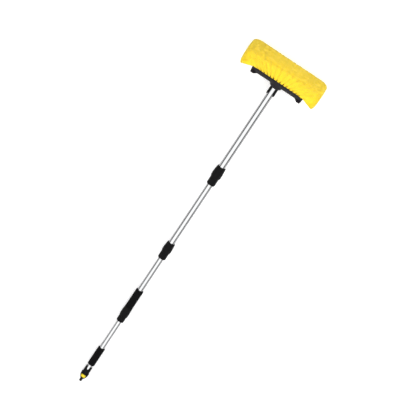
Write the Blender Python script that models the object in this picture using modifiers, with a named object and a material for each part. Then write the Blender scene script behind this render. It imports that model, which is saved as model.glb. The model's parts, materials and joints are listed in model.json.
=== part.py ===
"""Wash brush: a bristle head on a four-section telescopic pole that carries water to the head.

Every piece is modelled in the pole's own frame: local Z runs from the bristle tips down the pole
to the hose end, local Y along the head, and local X across it. One empty then lays the brush on
the floor, on the lower long side of its bristles and on the hose valve.
"""

import math

import bmesh
import bpy
from mathutils import Matrix, Vector

# Fits
GAP = 0.0003                    # between pieces that touch
OVERRUN = 0.001                 # how far a cut runs past what it cuts
ROUND_SIDES = 24
HIDDEN_SIDES = 16

# Bristles
TRIM_LENGTH = 0.056             # from the tips to the block's underside
TRIM_LONG = 0.298
TRIM_DEEP = 0.132
TRIM_SIDE = 0.0525              # height of the trimmed side faces
TRIM_END = 0.0545               # height of the trimmed end faces
TRIM_CORNER = 0.024
TRIM_EDGE = 0.004
TRIM_END_EDGE = 0.012           # the ends are rounder, towards the tips
TUFTS_LONG = 17
STRANDS_LONG = 2                # strands of one tuft along the head
STRANDS_DEEP = (3, 2, 2, 2, 3)  # strands of one tuft across the head, for each row
TUFT_WIDTH = 0.0044
TUFT_FILL_SHARE = 0.76
TUFT_ROOTED = 0.0015

# Block and bumper
BLOCK_LONG = 0.204
BLOCK_DEEP = 0.092
STRIP_THICKNESS = 0.003
LIP_HEIGHT = 0.005
LIP_WALL = 0.003
APRON_INSET = 0.016
RIM_HEIGHT = 0.022
RIM_WIDTH = 0.004
BUMPER_CORNER = 0.009
FLOOR_HEIGHT = 0.016
EAR_HEIGHT = 0.030
EAR_THICKNESS = 0.020
EAR_TOP_THICKNESS = 0.013
EAR_WIDTH = 0.070
EAR_TOP_WIDTH = 0.028
EAR_TOP_SLIDE = 0.020           # the top lies towards one long side, so the wall rises to it
EAR_ROUND = 0.003
EAR_INSET = 0.0006
BAR_WIDTH = 0.0022
BAR_SPACING = 0.0044
BAR_HEIGHT = 0.004
GROOVE_WIDTH = 0.003
GROOVE_DEPTH = 0.003
CHAMBER_WIDTH = 0.024
CHAMBER_LENGTH = 0.140
CHAMBER_HEIGHT = 0.006
WATER_HOLE_RADIUS = 0.0015
WATER_HOLES = 4

# Pole socket
HUMP_HEIGHT = 0.035             # arched hump that holds the pole, from the block's underside
HUMP_WIDTH = 0.050
HUMP_TOP_WIDTH = 0.0365
HUMP_TOP_DEPTH = 0.0375
HUMP_ROUND = 0.005
HUMP_LEVEL_SHARES = ((0.35, 0.06), (0.65, 0.26), (0.86, 0.58))  # up the hump, inwards
COLLAR_WALL = 0.0024
COLLAR_LEDGE = 0.002
COLLAR_FLANGE = 0.0027
COLLAR_FLANGE_LIP = 0.002
LEDGE_WIDTH = 0.005
SOCKET_DEPTH = 0.021
SEAL_HEIGHT = 0.0017
STRAP_LENGTH = 0.033
STRAP_WIDTH = 0.016
STRAP_THICKNESS = 0.003
RIVET_RADIUS = 0.0014
RIVET_HEAD_RADIUS = 0.0026
RIVET_HEAD_HEIGHT = 0.001
RIVET_FROM_END = 0.007

# Tubes: each is one step smaller than the one above it
TUBE_RADIUS = 0.0118
TUBE_WALL = 0.0005
TUBE_STEP = 0.001
TUBE_1_BARE = 0.3412
TUBE_2_BARE = 0.2574
TUBE_3_BARE = 0.1443
TUBE_4_BARE = 0.1240
TUBE_4_NECK = 0.0094            # bare tube between the lower grip and the valve
PULL_OUT = 0.020                # how far each tube can still be pulled out
TAIL_FLANGE = 0.003
TAIL_SPIGOT = 0.014
TAIL_WALL = 0.0015
TAIL_RUNNING = 0.0002

# Twist locks
LOCK_A_BARREL = 0.0452
LOCK_A_NUT = 0.0300
LOCK_A_RADIUS = 0.0185
LOCK_B_BARREL = 0.0410
LOCK_B_NUT = 0.0268
LOCK_B_RADIUS = 0.0168
LOCK_C_BARREL = 0.0604
LOCK_C_NUT = 0.0220
LOCK_C_RADIUS = 0.0155
LOCK_C_COVERED = 0.019          # barrel length under the upper foam grip
MOUTH_WALL = 0.0018
SHOULDER_HEIGHT = 0.003
SHOULDER_RUNNING = 0.00015
POCKET_WALL = 0.0032            # room for packing and collet round the inner tube
PACKING_HEIGHT = 0.0055
COLLET_HEIGHT = 0.010
COLLET_TAPER = 0.0008
COLLET_SLOT = 0.002
SPIGOT_HEIGHT = 0.008
NUT_RUNNING = 0.00035
NUT_WALL = 0.0047
NUT_CHAMFER = 0.0015
FLUTES = 12
FLUTE_RADIUS = 0.0018
FLUTE_DEPTH = 0.0007
FLUTE_INSET = 0.005
FLUTE_PHASE_SHARE = 0.25
# Down the visible barrel, then out from its mouth to its full radius
BARREL_SHARES = ((0.05, 0.5), (0.30, 0.67), (0.62, 1), (0.88, 1), (1, 0.8))
COVERED_BARREL_SHARES = ((0, 0.73), (0.62, 1), (0.88, 1), (1, 0.8))

# Foam grips
GRIP_UPPER_LENGTH = 0.0760
GRIP_UPPER_RADIUS = 0.0140
GRIP_LOWER_LENGTH = 0.0768
GRIP_LOWER_RADIUS = 0.0129
GRIP_ROUND = 0.003
GRIP_COLLAR_WALL = 0.0019       # lock barrel wall under the upper grip

# Hose valve
VALVE_LENGTH = 0.0335
VALVE_RADIUS = 0.0144
VALVE_MOUTH_WALL = 0.0031
VALVE_FOOT_WALL = 0.0030
VALVE_SOCKET = 0.0195
VALVE_POCKET_RADIUS = 0.0110
VALVE_SHARES = ((0.706, 0.05), (0.818, 1), (0.957, 1))  # down the body, out from its mouth
NOTCH_WIDTH = 0.0125            # thumb notch in the mouth, which shows the tube
NOTCH_DEPTH = 0.0125
SEAT_THICKNESS = 0.002
ROTOR_THICKNESS = 0.003
STEM_RADIUS = 0.0062
STEM_BORE = 0.0044
PORT_RADIUS = 0.0015
PORT_OFFSET = 0.0026
ROTOR_SEAL_HEIGHT = 0.002
RING_LENGTH = 0.0125
RING_RADIUS = 0.0112
RING_FOOT_RADIUS = 0.0098
RING_STRAIGHT_SHARE = 0.5       # of the ring's length, before it narrows
CAGE_RADIUS = 0.0140            # cage of the nipple, whose two cheeks hold the ring
CAGE_WINDOW = 0.0180
# Down the cage and its cap, then out from the nipple's root to the cage's full radius
CAGE_SHARES = ((0, 1), (0.19, 0.99), (0.35, 0.92), (0.51, 0.76), (0.66, 0.59), (0.83, 0.31), (1, 0))
NIPPLE_COLLAR_LENGTH = 0.0080
NIPPLE_COLLAR_RADIUS = 0.0056
NIPPLE_LENGTH = 0.0107
NIPPLE_RADIUS = 0.0050
NIPPLE_BORE = 0.0030
NIPPLE_LAND = 0.0045
NIPPLE_GROOVE_DEPTH = 0.0010
NIPPLE_GROOVE_LENGTH = 0.0020

# Places along the pole, from the bristle tips down
ROOTS = TRIM_LENGTH
STRIP_BACK = ROOTS + STRIP_THICKNESS
BLOCK_BASE = STRIP_BACK + GAP
BLOCK_FLOOR = ROOTS + FLOOR_HEIGHT
RIM_TOP = ROOTS + RIM_HEIGHT
EAR_TOP = ROOTS + EAR_HEIGHT
HUMP_TOP = ROOTS + HUMP_HEIGHT
LOCK_A_TOP = HUMP_TOP + TUBE_1_BARE
LOCK_B_TOP = LOCK_A_TOP + LOCK_A_BARREL + LOCK_A_NUT + TUBE_2_BARE
GRIP_UPPER_TOP = LOCK_B_TOP + LOCK_B_BARREL + LOCK_B_NUT + TUBE_3_BARE
LOCK_C_TOP = GRIP_UPPER_TOP + GRIP_UPPER_LENGTH - LOCK_C_COVERED
GRIP_LOWER_TOP = LOCK_C_TOP + LOCK_C_BARREL + LOCK_C_NUT + TUBE_4_BARE
VALVE_TOP = GRIP_LOWER_TOP + GRIP_LOWER_LENGTH + TUBE_4_NECK

# The brush rests on the lower shoulder of the bristles and on the valve
VALVE_REST = VALVE_TOP + VALVE_LENGTH * VALVE_SHARES[-1][0]
LEAN = math.atan((TRIM_DEEP / 2 - VALVE_RADIUS) / (VALVE_REST - TRIM_SIDE))


def start_scene():
    """Clear the file and make the two collections and the empty that lays the brush down."""
    for thing in list(bpy.data.objects):
        bpy.data.objects.remove(thing, do_unlink=True)
    groups = []
    for title in ("wash_brush", "wash_brush_cutters"):
        group = bpy.data.collections.new(title)
        bpy.context.scene.collection.children.link(group)
        groups.append(group)
    axis = bpy.data.objects.new("pole_axis", None)
    axis.rotation_euler = (0, -(math.pi / 2 + LEAN), 0)
    groups[0].objects.link(axis)
    return groups[0], groups[1], axis


PARTS, CUTTERS, POLE_AXIS = start_scene()


def finish_of(name, colour, roughness, metallic):
    """One plain material with the piece's colour, roughness and metallic value."""
    finish = bpy.data.materials.new(name)
    finish.use_nodes = True
    shader = finish.node_tree.nodes["Principled BSDF"]
    shader.inputs["Base Color"].default_value = (*colour, 1)
    shader.inputs["Roughness"].default_value = roughness
    shader.inputs["Metallic"].default_value = metallic
    return finish


BRISTLE = finish_of("bristle_yellow", (0.93, 0.66, 0.04), 0.6, 0)
BLOCK_BLACK = finish_of("block_black", (0.020, 0.019, 0.022), 0.45, 0)
BUMPER_BLACK = finish_of("bumper_black", (0.026, 0.025, 0.030), 0.38, 0)
SILVER = finish_of("tube_silver", (0.78, 0.79, 0.80), 0.28, 1)
LOCK_BLACK = finish_of("lock_black", (0.022, 0.022, 0.024), 0.5, 0)
FOAM = finish_of("grip_foam", (0.016, 0.016, 0.017), 0.95, 0)
SEAL_BLACK = finish_of("seal_rubber", (0.012, 0.012, 0.012), 0.8, 0)
INNER_WHITE = finish_of("inner_plastic", (0.75, 0.75, 0.72), 0.5, 0)
RING_YELLOW = finish_of("ring_yellow", (0.90, 0.68, 0.03), 0.4, 0)
RIVET_STEEL = finish_of("rivet_steel", (0.6, 0.6, 0.62), 0.3, 1)


def add_piece(name, build, finish, place=0.0):
    """Put a finished bmesh on the pole axis; without a finish it is a hidden cutter or helper."""
    mesh = bpy.data.meshes.new(name)
    build.to_mesh(mesh)
    build.free()
    piece = bpy.data.objects.new(name, mesh)
    piece.parent = POLE_AXIS
    piece.location = (0, 0, place)
    if finish is None:
        CUTTERS.objects.link(piece)
        piece.hide_render = True
        piece.display_type = "WIRE"
    else:
        mesh.materials.append(finish)
        PARTS.objects.link(piece)
    return piece


def turned(name, place, outer, bore, finish, sides=ROUND_SIDES):
    """Turn an outline about the pole axis. Outer and bore points run down the pole from place."""
    build = bmesh.new()
    outline = list(reversed(outer)) + list(bore)
    if not bore:
        outline = [(0, outer[-1][1])] + outline + [(0, outer[0][1])]
    corners = [build.verts.new((radius, 0, depth)) for radius, depth in outline]
    for first, second in zip(corners, corners[1:]):
        build.edges.new((first, second))
    if bore:
        build.edges.new((corners[-1], corners[0]))
    piece = add_piece(name, build, finish, place)
    screw = piece.modifiers.new("turn", "SCREW")
    screw.steps = sides
    screw.render_steps = sides
    screw.use_merge_vertices = True
    screw.merge_threshold = 0.00001
    screw.use_smooth_shade = False
    return piece


def ring(name, place, height, radius, bore, finish, sides=ROUND_SIDES):
    """A plain ring or tube of one height."""
    return turned(name, place, [(radius, 0), (radius, height)], [(bore, 0), (bore, height)],
                  finish, sides)


def box(name, low, high, finish, place=0.0):
    """A box between two corners."""
    build = bmesh.new()
    bmesh.ops.create_cube(build, size=1)
    centre = (Vector(low) + Vector(high)) / 2
    bmesh.ops.scale(build, vec=Vector(high) - Vector(low), verts=build.verts)
    bmesh.ops.translate(build, vec=centre, verts=build.verts)
    return add_piece(name, build, finish, place)


def stepped_box(name, levels, corner, segments, finish, shift=0.0, slide=0.0):
    """A box whose half sizes change from level to level: a cube cut across at each level.
    Each level is (place down the pole, half width in X, half length in Y). Shift moves the box
    along Y, and slide moves its last level along X."""
    build = bmesh.new()
    bmesh.ops.create_cube(build, size=1)
    first = levels[0][0]
    last = levels[-1][0]
    for vert in build.verts:
        vert.co.z = first if vert.co.z < 0 else last
    for place, half_x, half_y in levels[1:-1]:
        everything = build.verts[:] + build.edges[:] + build.faces[:]
        bmesh.ops.bisect_plane(build, geom=everything, plane_co=(0, 0, place),
                               plane_no=(0, 0, 1))
    for vert in build.verts:
        place, half_x, half_y = min(levels, key=lambda level: abs(level[0] - vert.co.z))
        vert.co.x = math.copysign(half_x, vert.co.x) + (slide if place == last else 0)
        vert.co.y = math.copysign(half_y, vert.co.y) + shift
    bmesh.ops.recalc_face_normals(build, faces=build.faces)
    if corner > 0:
        upright = [edge for edge in build.edges
                   if abs(edge.verts[0].co.z - edge.verts[1].co.z) > OVERRUN / 2]
        bmesh.ops.bevel(build, geom=upright, offset=corner, segments=segments, profile=0.5,
                        affect="EDGES")
    return add_piece(name, build, finish)


def combine(piece, other, operation):
    """Add a Boolean with a hidden cutter or helper."""
    step = piece.modifiers.new(operation.lower(), "BOOLEAN")
    step.operation = operation
    step.object = other
    step.solver = "EXACT"
    return piece


def flute_cutter(name, place, length, radius):
    """Round bars that cut the grip flutes of a lock, evenly round the pole axis."""
    build = bmesh.new()
    reach = radius + FLUTE_RADIUS - FLUTE_DEPTH
    for index in range(FLUTES):
        angle = 2 * math.pi * (index + FLUTE_PHASE_SHARE) / FLUTES
        made = bmesh.ops.create_cone(build, cap_ends=True, segments=8, radius1=FLUTE_RADIUS,
                                     radius2=FLUTE_RADIUS, depth=length)
        centre = (reach * math.cos(angle), reach * math.sin(angle), length / 2)
        bmesh.ops.translate(build, vec=centre, verts=made["verts"])
    return add_piece(name, build, None, place)


def cross_pin_cutter(name, place, radius, reach):
    """A bar along Y, for the rivet holes."""
    build = bmesh.new()
    bmesh.ops.create_cone(build, cap_ends=True, segments=12, radius1=radius, radius2=radius,
                          depth=2 * reach)
    cutter = add_piece(name, build, None, place)
    cutter.rotation_euler = (math.pi / 2, 0, 0)
    return cutter


def loft(build, sections):
    """Join equal rings of points into one closed body, head end first."""
    rings = [[build.verts.new(point) for point in section] for section in sections]
    count = len(rings[0])
    build.faces.new(rings[0])
    for upper, lower in zip(rings, rings[1:]):
        for index in range(count):
            after = (index + 1) % count
            build.faces.new((upper[after], upper[index], lower[index], lower[after]))
    build.faces.new(reversed(rings[-1]))


def unfolded(spread, half, root):
    """Where a strand that aims at a place on the trimmed surface would cross the tip plane.
    Spread is measured from the middle along the tips and then up the side face."""
    reach = abs(spread)
    if reach > half:
        rise = reach - half
        reach = abs(root) + (half - abs(root)) * TRIM_LENGTH / (TRIM_LENGTH - rise)
    return math.copysign(reach, spread)


def strand_edges(tuft, pitch, cells, half, reach):
    """Root and tip-plane edges of each strand of one tuft, along one axis."""
    edges = []
    margin = (1 - TUFT_FILL_SHARE) / 2
    for index in range(cells):
        pair = []
        for share in (index + margin, index + 1 - margin):
            root = tuft + TUFT_WIDTH * (share / cells - 0.5)
            aim = (tuft + pitch * (share / cells - 0.5)) * reach
            pair.append((root, unfolded(aim, half, root)))
        edges.append(pair)
    return edges


def strand(build, edges_x, edges_y):
    """One four-sided strand from inside its strip to past the tip plane."""
    sections = []
    for down, place in ((1 + OVERRUN / TRIM_LENGTH, -OVERRUN), (0, ROOTS), (0, ROOTS + TUFT_ROOTED)):
        low_x, high_x = [root + (tip - root) * down for root, tip in edges_x]
        low_y, high_y = [root + (tip - root) * down for root, tip in edges_y]
        sections.append([(low_x, low_y, place), (high_x, low_y, place),
                         (high_x, high_y, place), (low_x, high_y, place)])
    loft(build, sections)


def make_bristles():
    """Rows of tufts, each row fused to its strip of the block's underside."""
    rows = len(STRANDS_DEEP)
    half_long = BLOCK_LONG / 2 - LIP_WALL - GAP
    half_deep = BLOCK_DEEP / 2 - LIP_WALL - GAP
    pitch_deep = (2 * half_deep + GAP) / rows
    pitch_long = 2 * (half_long - TUFT_WIDTH / 2) / TUFTS_LONG
    reach_long = (TRIM_LONG / 2 + TRIM_END) / (pitch_long * TUFTS_LONG / 2)
    reach_deep = (TRIM_DEEP / 2 + TRIM_SIDE) / (pitch_deep * rows / 2)
    trim = stepped_box("trim_envelope",
                       [(0, TRIM_DEEP / 2 - TRIM_EDGE, TRIM_LONG / 2 - TRIM_END_EDGE),
                        (TRIM_EDGE, TRIM_DEEP / 2, TRIM_LONG / 2 - TRIM_EDGE),
                        (TRIM_END_EDGE, TRIM_DEEP / 2, TRIM_LONG / 2),
                        (ROOTS + STRIP_THICKNESS, TRIM_DEEP / 2, TRIM_LONG / 2)],
                       TRIM_CORNER, 3, None)
    for row in range(rows):
        middle = (row - (rows - 1) / 2) * pitch_deep
        across = strand_edges(middle, pitch_deep, STRANDS_DEEP[row], TRIM_DEEP / 2, reach_deep)
        build = bmesh.new()
        for index in range(TUFTS_LONG):
            tuft = (index - (TUFTS_LONG - 1) / 2) * pitch_long
            along = strand_edges(tuft, pitch_long, STRANDS_LONG, TRIM_LONG / 2, reach_long)
            for edges_x in across:
                for edges_y in along:
                    strand(build, edges_x, edges_y)
        strands = add_piece("tuft_row_%d" % (row + 1), build, BRISTLE)
        combine(strands, trim, "INTERSECT")
        half_strip = (pitch_deep - GAP) / 2
        strip = box("strip_%d" % (row + 1), (middle - half_strip, -half_long, ROOTS),
                    (middle + half_strip, half_long, STRIP_BACK), None)
        combine(strands, strip, "UNION")
        if middle == 0:
            combine(strands, water_hole_cutter(pitch_long), "DIFFERENCE")


def water_hole_cutter(pitch_long):
    """Outlets through the middle strip, midway between tufts, under the water chamber."""
    build = bmesh.new()
    for index in range(WATER_HOLES):
        tufts_over = round((index - (WATER_HOLES - 1) / 2) * TUFTS_LONG / (WATER_HOLES + 1) - 0.5)
        made = bmesh.ops.create_cone(build, cap_ends=True, segments=10, radius1=WATER_HOLE_RADIUS,
                                     radius2=WATER_HOLE_RADIUS, depth=STRIP_THICKNESS + 2 * OVERRUN)
        centre = (0, (tufts_over + 0.5) * pitch_long, ROOTS + STRIP_THICKNESS / 2)
        bmesh.ops.translate(build, vec=centre, verts=made["verts"])
    return add_piece("water_holes", build, None)


def make_bumper():
    """Outer frame: a lip round the strips, a sloping apron and a raised wall at each end."""
    half_x = BLOCK_DEEP / 2
    half_y = BLOCK_LONG / 2
    bumper = stepped_box("bumper_rim",
                         [(ROOTS, half_x, half_y), (ROOTS + LIP_HEIGHT, half_x, half_y),
                          (RIM_TOP, half_x - APRON_INSET, half_y - APRON_INSET)],
                         BUMPER_CORNER, 3, BUMPER_BLACK)
    for side, word in ((1, "right"), (-1, "left")):
        middle = side * (half_y - EAR_THICKNESS / 2 - EAR_INSET)
        ear = stepped_box("ear_" + word,
                          [(ROOTS + LIP_HEIGHT, EAR_WIDTH / 2, EAR_THICKNESS / 2),
                           (RIM_TOP - EAR_ROUND, EAR_WIDTH / 2, EAR_THICKNESS / 2),
                           (EAR_TOP, EAR_TOP_WIDTH / 2, EAR_TOP_THICKNESS / 2)],
                          EAR_ROUND, 2, None, middle, EAR_TOP_SLIDE)
        combine(bumper, ear, "UNION")
    opening_x, opening_y = opening_half_sizes()
    opening = box("bumper_opening", (-opening_x, -opening_y, ROOTS - OVERRUN),
                  (opening_x, opening_y, EAR_TOP + OVERRUN), None)
    combine(bumper, opening, "DIFFERENCE")
    pocket = box("strip_pocket", (LIP_WALL - half_x, LIP_WALL - half_y, ROOTS - OVERRUN),
                 (half_x - LIP_WALL, half_y - LIP_WALL, BLOCK_BASE), None)
    combine(bumper, pocket, "DIFFERENCE")


def opening_half_sizes():
    """Half width and half length of the opening that the block core fills."""
    return (BLOCK_DEEP / 2 - APRON_INSET - RIM_WIDTH,
            BLOCK_LONG / 2 - EAR_THICKNESS - 2 * EAR_INSET - GAP)


def make_block():
    """Block core: floor panels, pole socket hump, water chamber, ridges and a groove."""
    opening_x, opening_y = opening_half_sizes()
    half_x = opening_x - GAP
    half_y = opening_y - GAP
    block = box("brush_block", (-half_x, -half_y, BLOCK_BASE), (half_x, half_y, BLOCK_FLOOR),
                BLOCK_BLACK)
    bore = TUBE_RADIUS + COLLAR_WALL + 2 * GAP
    levels = [(BLOCK_FLOOR - OVERRUN, half_x, HUMP_WIDTH / 2)]
    for up, inwards in HUMP_LEVEL_SHARES:
        levels.append((BLOCK_FLOOR + (HUMP_TOP - BLOCK_FLOOR) * up,
                       half_x + (HUMP_TOP_DEPTH / 2 - half_x) * inwards,
                       (HUMP_WIDTH + (HUMP_TOP_WIDTH - HUMP_WIDTH) * inwards) / 2))
    levels.append((HUMP_TOP, HUMP_TOP_DEPTH / 2, HUMP_TOP_WIDTH / 2))
    hump = stepped_box("hump", levels, HUMP_ROUND, 3, None)
    combine(block, hump, "UNION")
    chamber = box("chamber", (-CHAMBER_WIDTH / 2, -CHAMBER_LENGTH / 2, BLOCK_BASE - OVERRUN),
                  (CHAMBER_WIDTH / 2, CHAMBER_LENGTH / 2, BLOCK_BASE + CHAMBER_HEIGHT), None)
    combine(block, chamber, "DIFFERENCE")
    socket = turned("socket", 0,
                    [(bore - LEDGE_WIDTH, BLOCK_BASE + CHAMBER_HEIGHT - OVERRUN),
                     (bore - LEDGE_WIDTH, HUMP_TOP - SOCKET_DEPTH),
                     (bore, HUMP_TOP - SOCKET_DEPTH), (bore, HUMP_TOP + OVERRUN)], [], None)
    combine(block, socket, "DIFFERENCE")
    bar_start = HUMP_WIDTH / 2 + BAR_WIDTH
    bar_end = half_y - GROOVE_WIDTH
    for index in range(2):
        place = BAR_SPACING / 2 + index * BAR_SPACING - half_x
        bar = box("ridge_%d" % (index + 1), (place - BAR_WIDTH / 2, -bar_end, BLOCK_FLOOR - OVERRUN),
                  (place + BAR_WIDTH / 2, -bar_start, BLOCK_FLOOR + BAR_HEIGHT), None)
        combine(block, bar, "UNION")
    groove = box("groove", (GROOVE_WIDTH - half_x, bar_start, BLOCK_FLOOR - GROOVE_DEPTH),
                 (2 * GROOVE_WIDTH - half_x, bar_end, BLOCK_FLOOR + OVERRUN), None)
    combine(block, groove, "DIFFERENCE")


def make_socket_collar():
    """Collar in the hump with two straps along tube 1, its gasket and the two rivets."""
    inner = TUBE_RADIUS + GAP
    outer = inner + COLLAR_WALL
    base = HUMP_TOP - SOCKET_DEPTH + GAP
    flange = HUMP_TOP + GAP
    flange_end = flange + COLLAR_FLANGE
    collar = turned("socket_collar", 0,
                    [(outer, base), (outer, flange), (outer + COLLAR_FLANGE_LIP, flange),
                     (outer + COLLAR_FLANGE_LIP, flange_end)],
                    [(inner - LEDGE_WIDTH / 2, base), (inner - LEDGE_WIDTH / 2, base + COLLAR_LEDGE),
                     (inner, base + COLLAR_LEDGE), (inner, flange_end)], LOCK_BLACK)
    rivet_place = flange + STRAP_LENGTH - RIVET_FROM_END
    holes = cross_pin_cutter("rivet_holes", rivet_place, RIVET_RADIUS + GAP,
                             inner + STRAP_THICKNESS + OVERRUN)
    for side, word in ((1, "right"), (-1, "left")):
        faces = sorted((side * inner, side * (inner + STRAP_THICKNESS)))
        strap = box("strap_" + word, (-STRAP_WIDTH / 2, faces[0], flange + COLLAR_FLANGE / 2),
                    (STRAP_WIDTH / 2, faces[1], flange + STRAP_LENGTH), None)
        combine(collar, strap, "UNION")
        shank = TUBE_WALL + 2 * GAP + STRAP_THICKNESS
        rivet = turned("strap_rivet_" + word, rivet_place,
                       [(RIVET_RADIUS, -shank), (RIVET_RADIUS, GAP), (RIVET_HEAD_RADIUS, GAP),
                        (RIVET_HEAD_RADIUS, GAP + RIVET_HEAD_HEIGHT / 2),
                        (RIVET_RADIUS, GAP + RIVET_HEAD_HEIGHT)], [], RIVET_STEEL, HIDDEN_SIDES)
        rivet.location.y = side * (inner + STRAP_THICKNESS)
        rivet.rotation_euler = (-side * math.pi / 2, 0, 0)
    combine(collar, holes, "DIFFERENCE")
    ring("socket_seal", base + COLLAR_LEDGE + GAP, SEAL_HEIGHT, TUBE_RADIUS,
         inner - LEDGE_WIDTH / 2, SEAL_BLACK, HIDDEN_SIDES)
    return holes, base + COLLAR_LEDGE + SEAL_HEIGHT + 2 * GAP


def tube_radius(number):
    """Outer radius of a tube; tube 1 is the largest."""
    return TUBE_RADIUS - TUBE_STEP * (number - 1)


def make_tube(number, top, end):
    """One tube, and the running plug in its upper end where a tube above holds it."""
    radius = tube_radius(number)
    bore = radius - TUBE_WALL
    tube = ring("tube_%d" % number, top, end - top, radius, bore, SILVER)
    if number > 1:
        flange = tube_radius(number - 1) - TUBE_WALL - TAIL_RUNNING
        spigot = bore - GAP
        turned("tail_bush_%d" % number, top,
               [(flange, -GAP - TAIL_FLANGE), (flange, -GAP), (spigot, -GAP),
                (spigot, TAIL_SPIGOT)],
               [(spigot - TAIL_WALL, -GAP - TAIL_FLANGE), (spigot - TAIL_WALL, TAIL_SPIGOT)],
               INNER_WHITE, HIDDEN_SIDES)
    return tube


def make_lock(letter, number, top, barrel_length, nut_length, radius, covered):
    """Twist lock on the lower end of a tube. Returns where that tube ends and where the shoulder
    that stops the next tube starts. Covered is the barrel length that a foam grip hides."""
    outer_tube = tube_radius(number)
    inner_tube = tube_radius(number + 1)
    pocket = inner_tube + POCKET_WALL
    end = top + barrel_length
    collet_end = end - SPIGOT_HEIGHT - GAP
    collet_top = collet_end - COLLET_HEIGHT
    packing_top = collet_top - GAP - PACKING_HEIGHT
    pocket_top = packing_top - GAP
    shoulder_top = pocket_top - SHOULDER_HEIGHT
    socket = outer_tube + GAP
    mouth = socket + MOUTH_WALL
    visible = barrel_length - covered
    first = top + covered
    shares = BARREL_SHARES
    if covered > 0:
        mouth = socket + GRIP_COLLAR_WALL
        first += GAP
        visible -= GAP
        shares = COVERED_BARREL_SHARES
    outer = [(mouth, top)]
    if covered > 0:
        outer.append((mouth, first))
    for down, out in shares:
        outer.append((mouth + (radius - mouth) * out, first + visible * down))
    barrel = turned("lock_%s_barrel" % letter, 0, outer,
                    [(socket, top), (socket, shoulder_top),
                     (inner_tube + SHOULDER_RUNNING, shoulder_top),
                     (inner_tube + SHOULDER_RUNNING, pocket_top), (pocket, pocket_top),
                     (pocket, end)], LOCK_BLACK)
    flutes = flute_cutter("flutes_%s" % letter, first + FLUTE_INSET, visible - 2 * FLUTE_INSET,
                          radius)
    combine(barrel, flutes, "DIFFERENCE")
    ring("lock_%s_packing" % letter, packing_top, PACKING_HEIGHT, pocket - GAP,
         inner_tube + GAP, SEAL_BLACK, HIDDEN_SIDES)
    collet = turned("lock_%s_collet" % letter, collet_top,
                    [(pocket - GAP, 0), (pocket - GAP, COLLET_HEIGHT / 2),
                     (pocket - GAP - COLLET_TAPER, COLLET_HEIGHT)],
                    [(inner_tube + GAP, 0), (inner_tube + GAP, COLLET_HEIGHT)], INNER_WHITE,
                    HIDDEN_SIDES)
    slot = box("collet_slot_%s" % letter, (0, -COLLET_SLOT / 2, -OVERRUN),
               (pocket + OVERRUN, COLLET_SLOT / 2, COLLET_HEIGHT + OVERRUN), None, collet_top)
    combine(collet, slot, "DIFFERENCE")
    nut_radius = inner_tube + NUT_WALL
    nut_top = end + GAP
    nut_end = end + nut_length
    bore = inner_tube + NUT_RUNNING
    nut = turned("lock_%s_nut" % letter, nut_top,
                 [(pocket - GAP, -SPIGOT_HEIGHT), (pocket - GAP, 0), (nut_radius, 0),
                  (nut_radius, nut_end - nut_top - NUT_CHAMFER),
                  (nut_radius - NUT_CHAMFER, nut_end - nut_top)],
                 [(bore, -SPIGOT_HEIGHT), (bore, nut_end - nut_top)], LOCK_BLACK)
    nut_flutes = flute_cutter("nut_flutes_%s" % letter, nut_top + FLUTE_INSET / 2,
                              nut_length - FLUTE_INSET, nut_radius)
    combine(nut, nut_flutes, "DIFFERENCE")
    return shoulder_top - GAP, shoulder_top


def make_grips():
    """Foam sleeves; the upper one also covers the top of lock C."""
    tube = tube_radius(3) + GAP
    collar = tube + GRIP_COLLAR_WALL + GAP
    covered_top = GRIP_UPPER_LENGTH - LOCK_C_COVERED - GAP
    turned("foam_grip_upper", GRIP_UPPER_TOP,
           [(GRIP_UPPER_RADIUS - GRIP_ROUND, 0), (GRIP_UPPER_RADIUS - GRIP_ROUND / 3, GRIP_ROUND / 3),
            (GRIP_UPPER_RADIUS, GRIP_ROUND), (GRIP_UPPER_RADIUS, GRIP_UPPER_LENGTH)],
           [(tube, 0), (tube, covered_top), (collar, covered_top), (collar, GRIP_UPPER_LENGTH)],
           FOAM)
    tube = tube_radius(4) + GAP
    foot = GRIP_LOWER_LENGTH
    turned("foam_grip_lower", GRIP_LOWER_TOP,
           [(GRIP_LOWER_RADIUS - GRIP_ROUND, 0), (GRIP_LOWER_RADIUS - GRIP_ROUND / 3, GRIP_ROUND / 3),
            (GRIP_LOWER_RADIUS, GRIP_ROUND), (GRIP_LOWER_RADIUS, foot - GRIP_ROUND),
            (GRIP_LOWER_RADIUS - GRIP_ROUND / 3, foot - GRIP_ROUND / 3),
            (GRIP_LOWER_RADIUS - GRIP_ROUND, foot)],
           [(tube, 0), (tube, foot)], FOAM)


def port_cutter(name, place, depth):
    """Two ports on opposite sides of the pole axis."""
    build = bmesh.new()
    for side in (1, -1):
        made = bmesh.ops.create_cone(build, cap_ends=True, segments=12, radius1=PORT_RADIUS,
                                     radius2=PORT_RADIUS, depth=depth + 2 * OVERRUN)
        bmesh.ops.translate(build, vec=(side * PORT_OFFSET, 0, depth / 2), verts=made["verts"])
    return add_piece(name, build, None, place)


def notch_cutter(name, place):
    """A round-ended slot through one side of the valve's mouth."""
    build = bmesh.new()
    half = NOTCH_WIDTH / 2
    reach = VALVE_RADIUS + OVERRUN
    made = bmesh.ops.create_cone(build, cap_ends=True, segments=ROUND_SIDES, radius1=half,
                                 radius2=half, depth=reach)
    bmesh.ops.rotate(build, matrix=Matrix.Rotation(math.pi / 2, 3, "Y"), verts=made["verts"])
    bmesh.ops.translate(build, vec=(reach / 2, 0, NOTCH_DEPTH - half), verts=made["verts"])
    cutter = add_piece(name, build, None, place)
    slot = box(name + "_slot", (0, -half, -OVERRUN), (reach, half, NOTCH_DEPTH - half), None, place)
    return combine(cutter, slot, "UNION")


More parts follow.
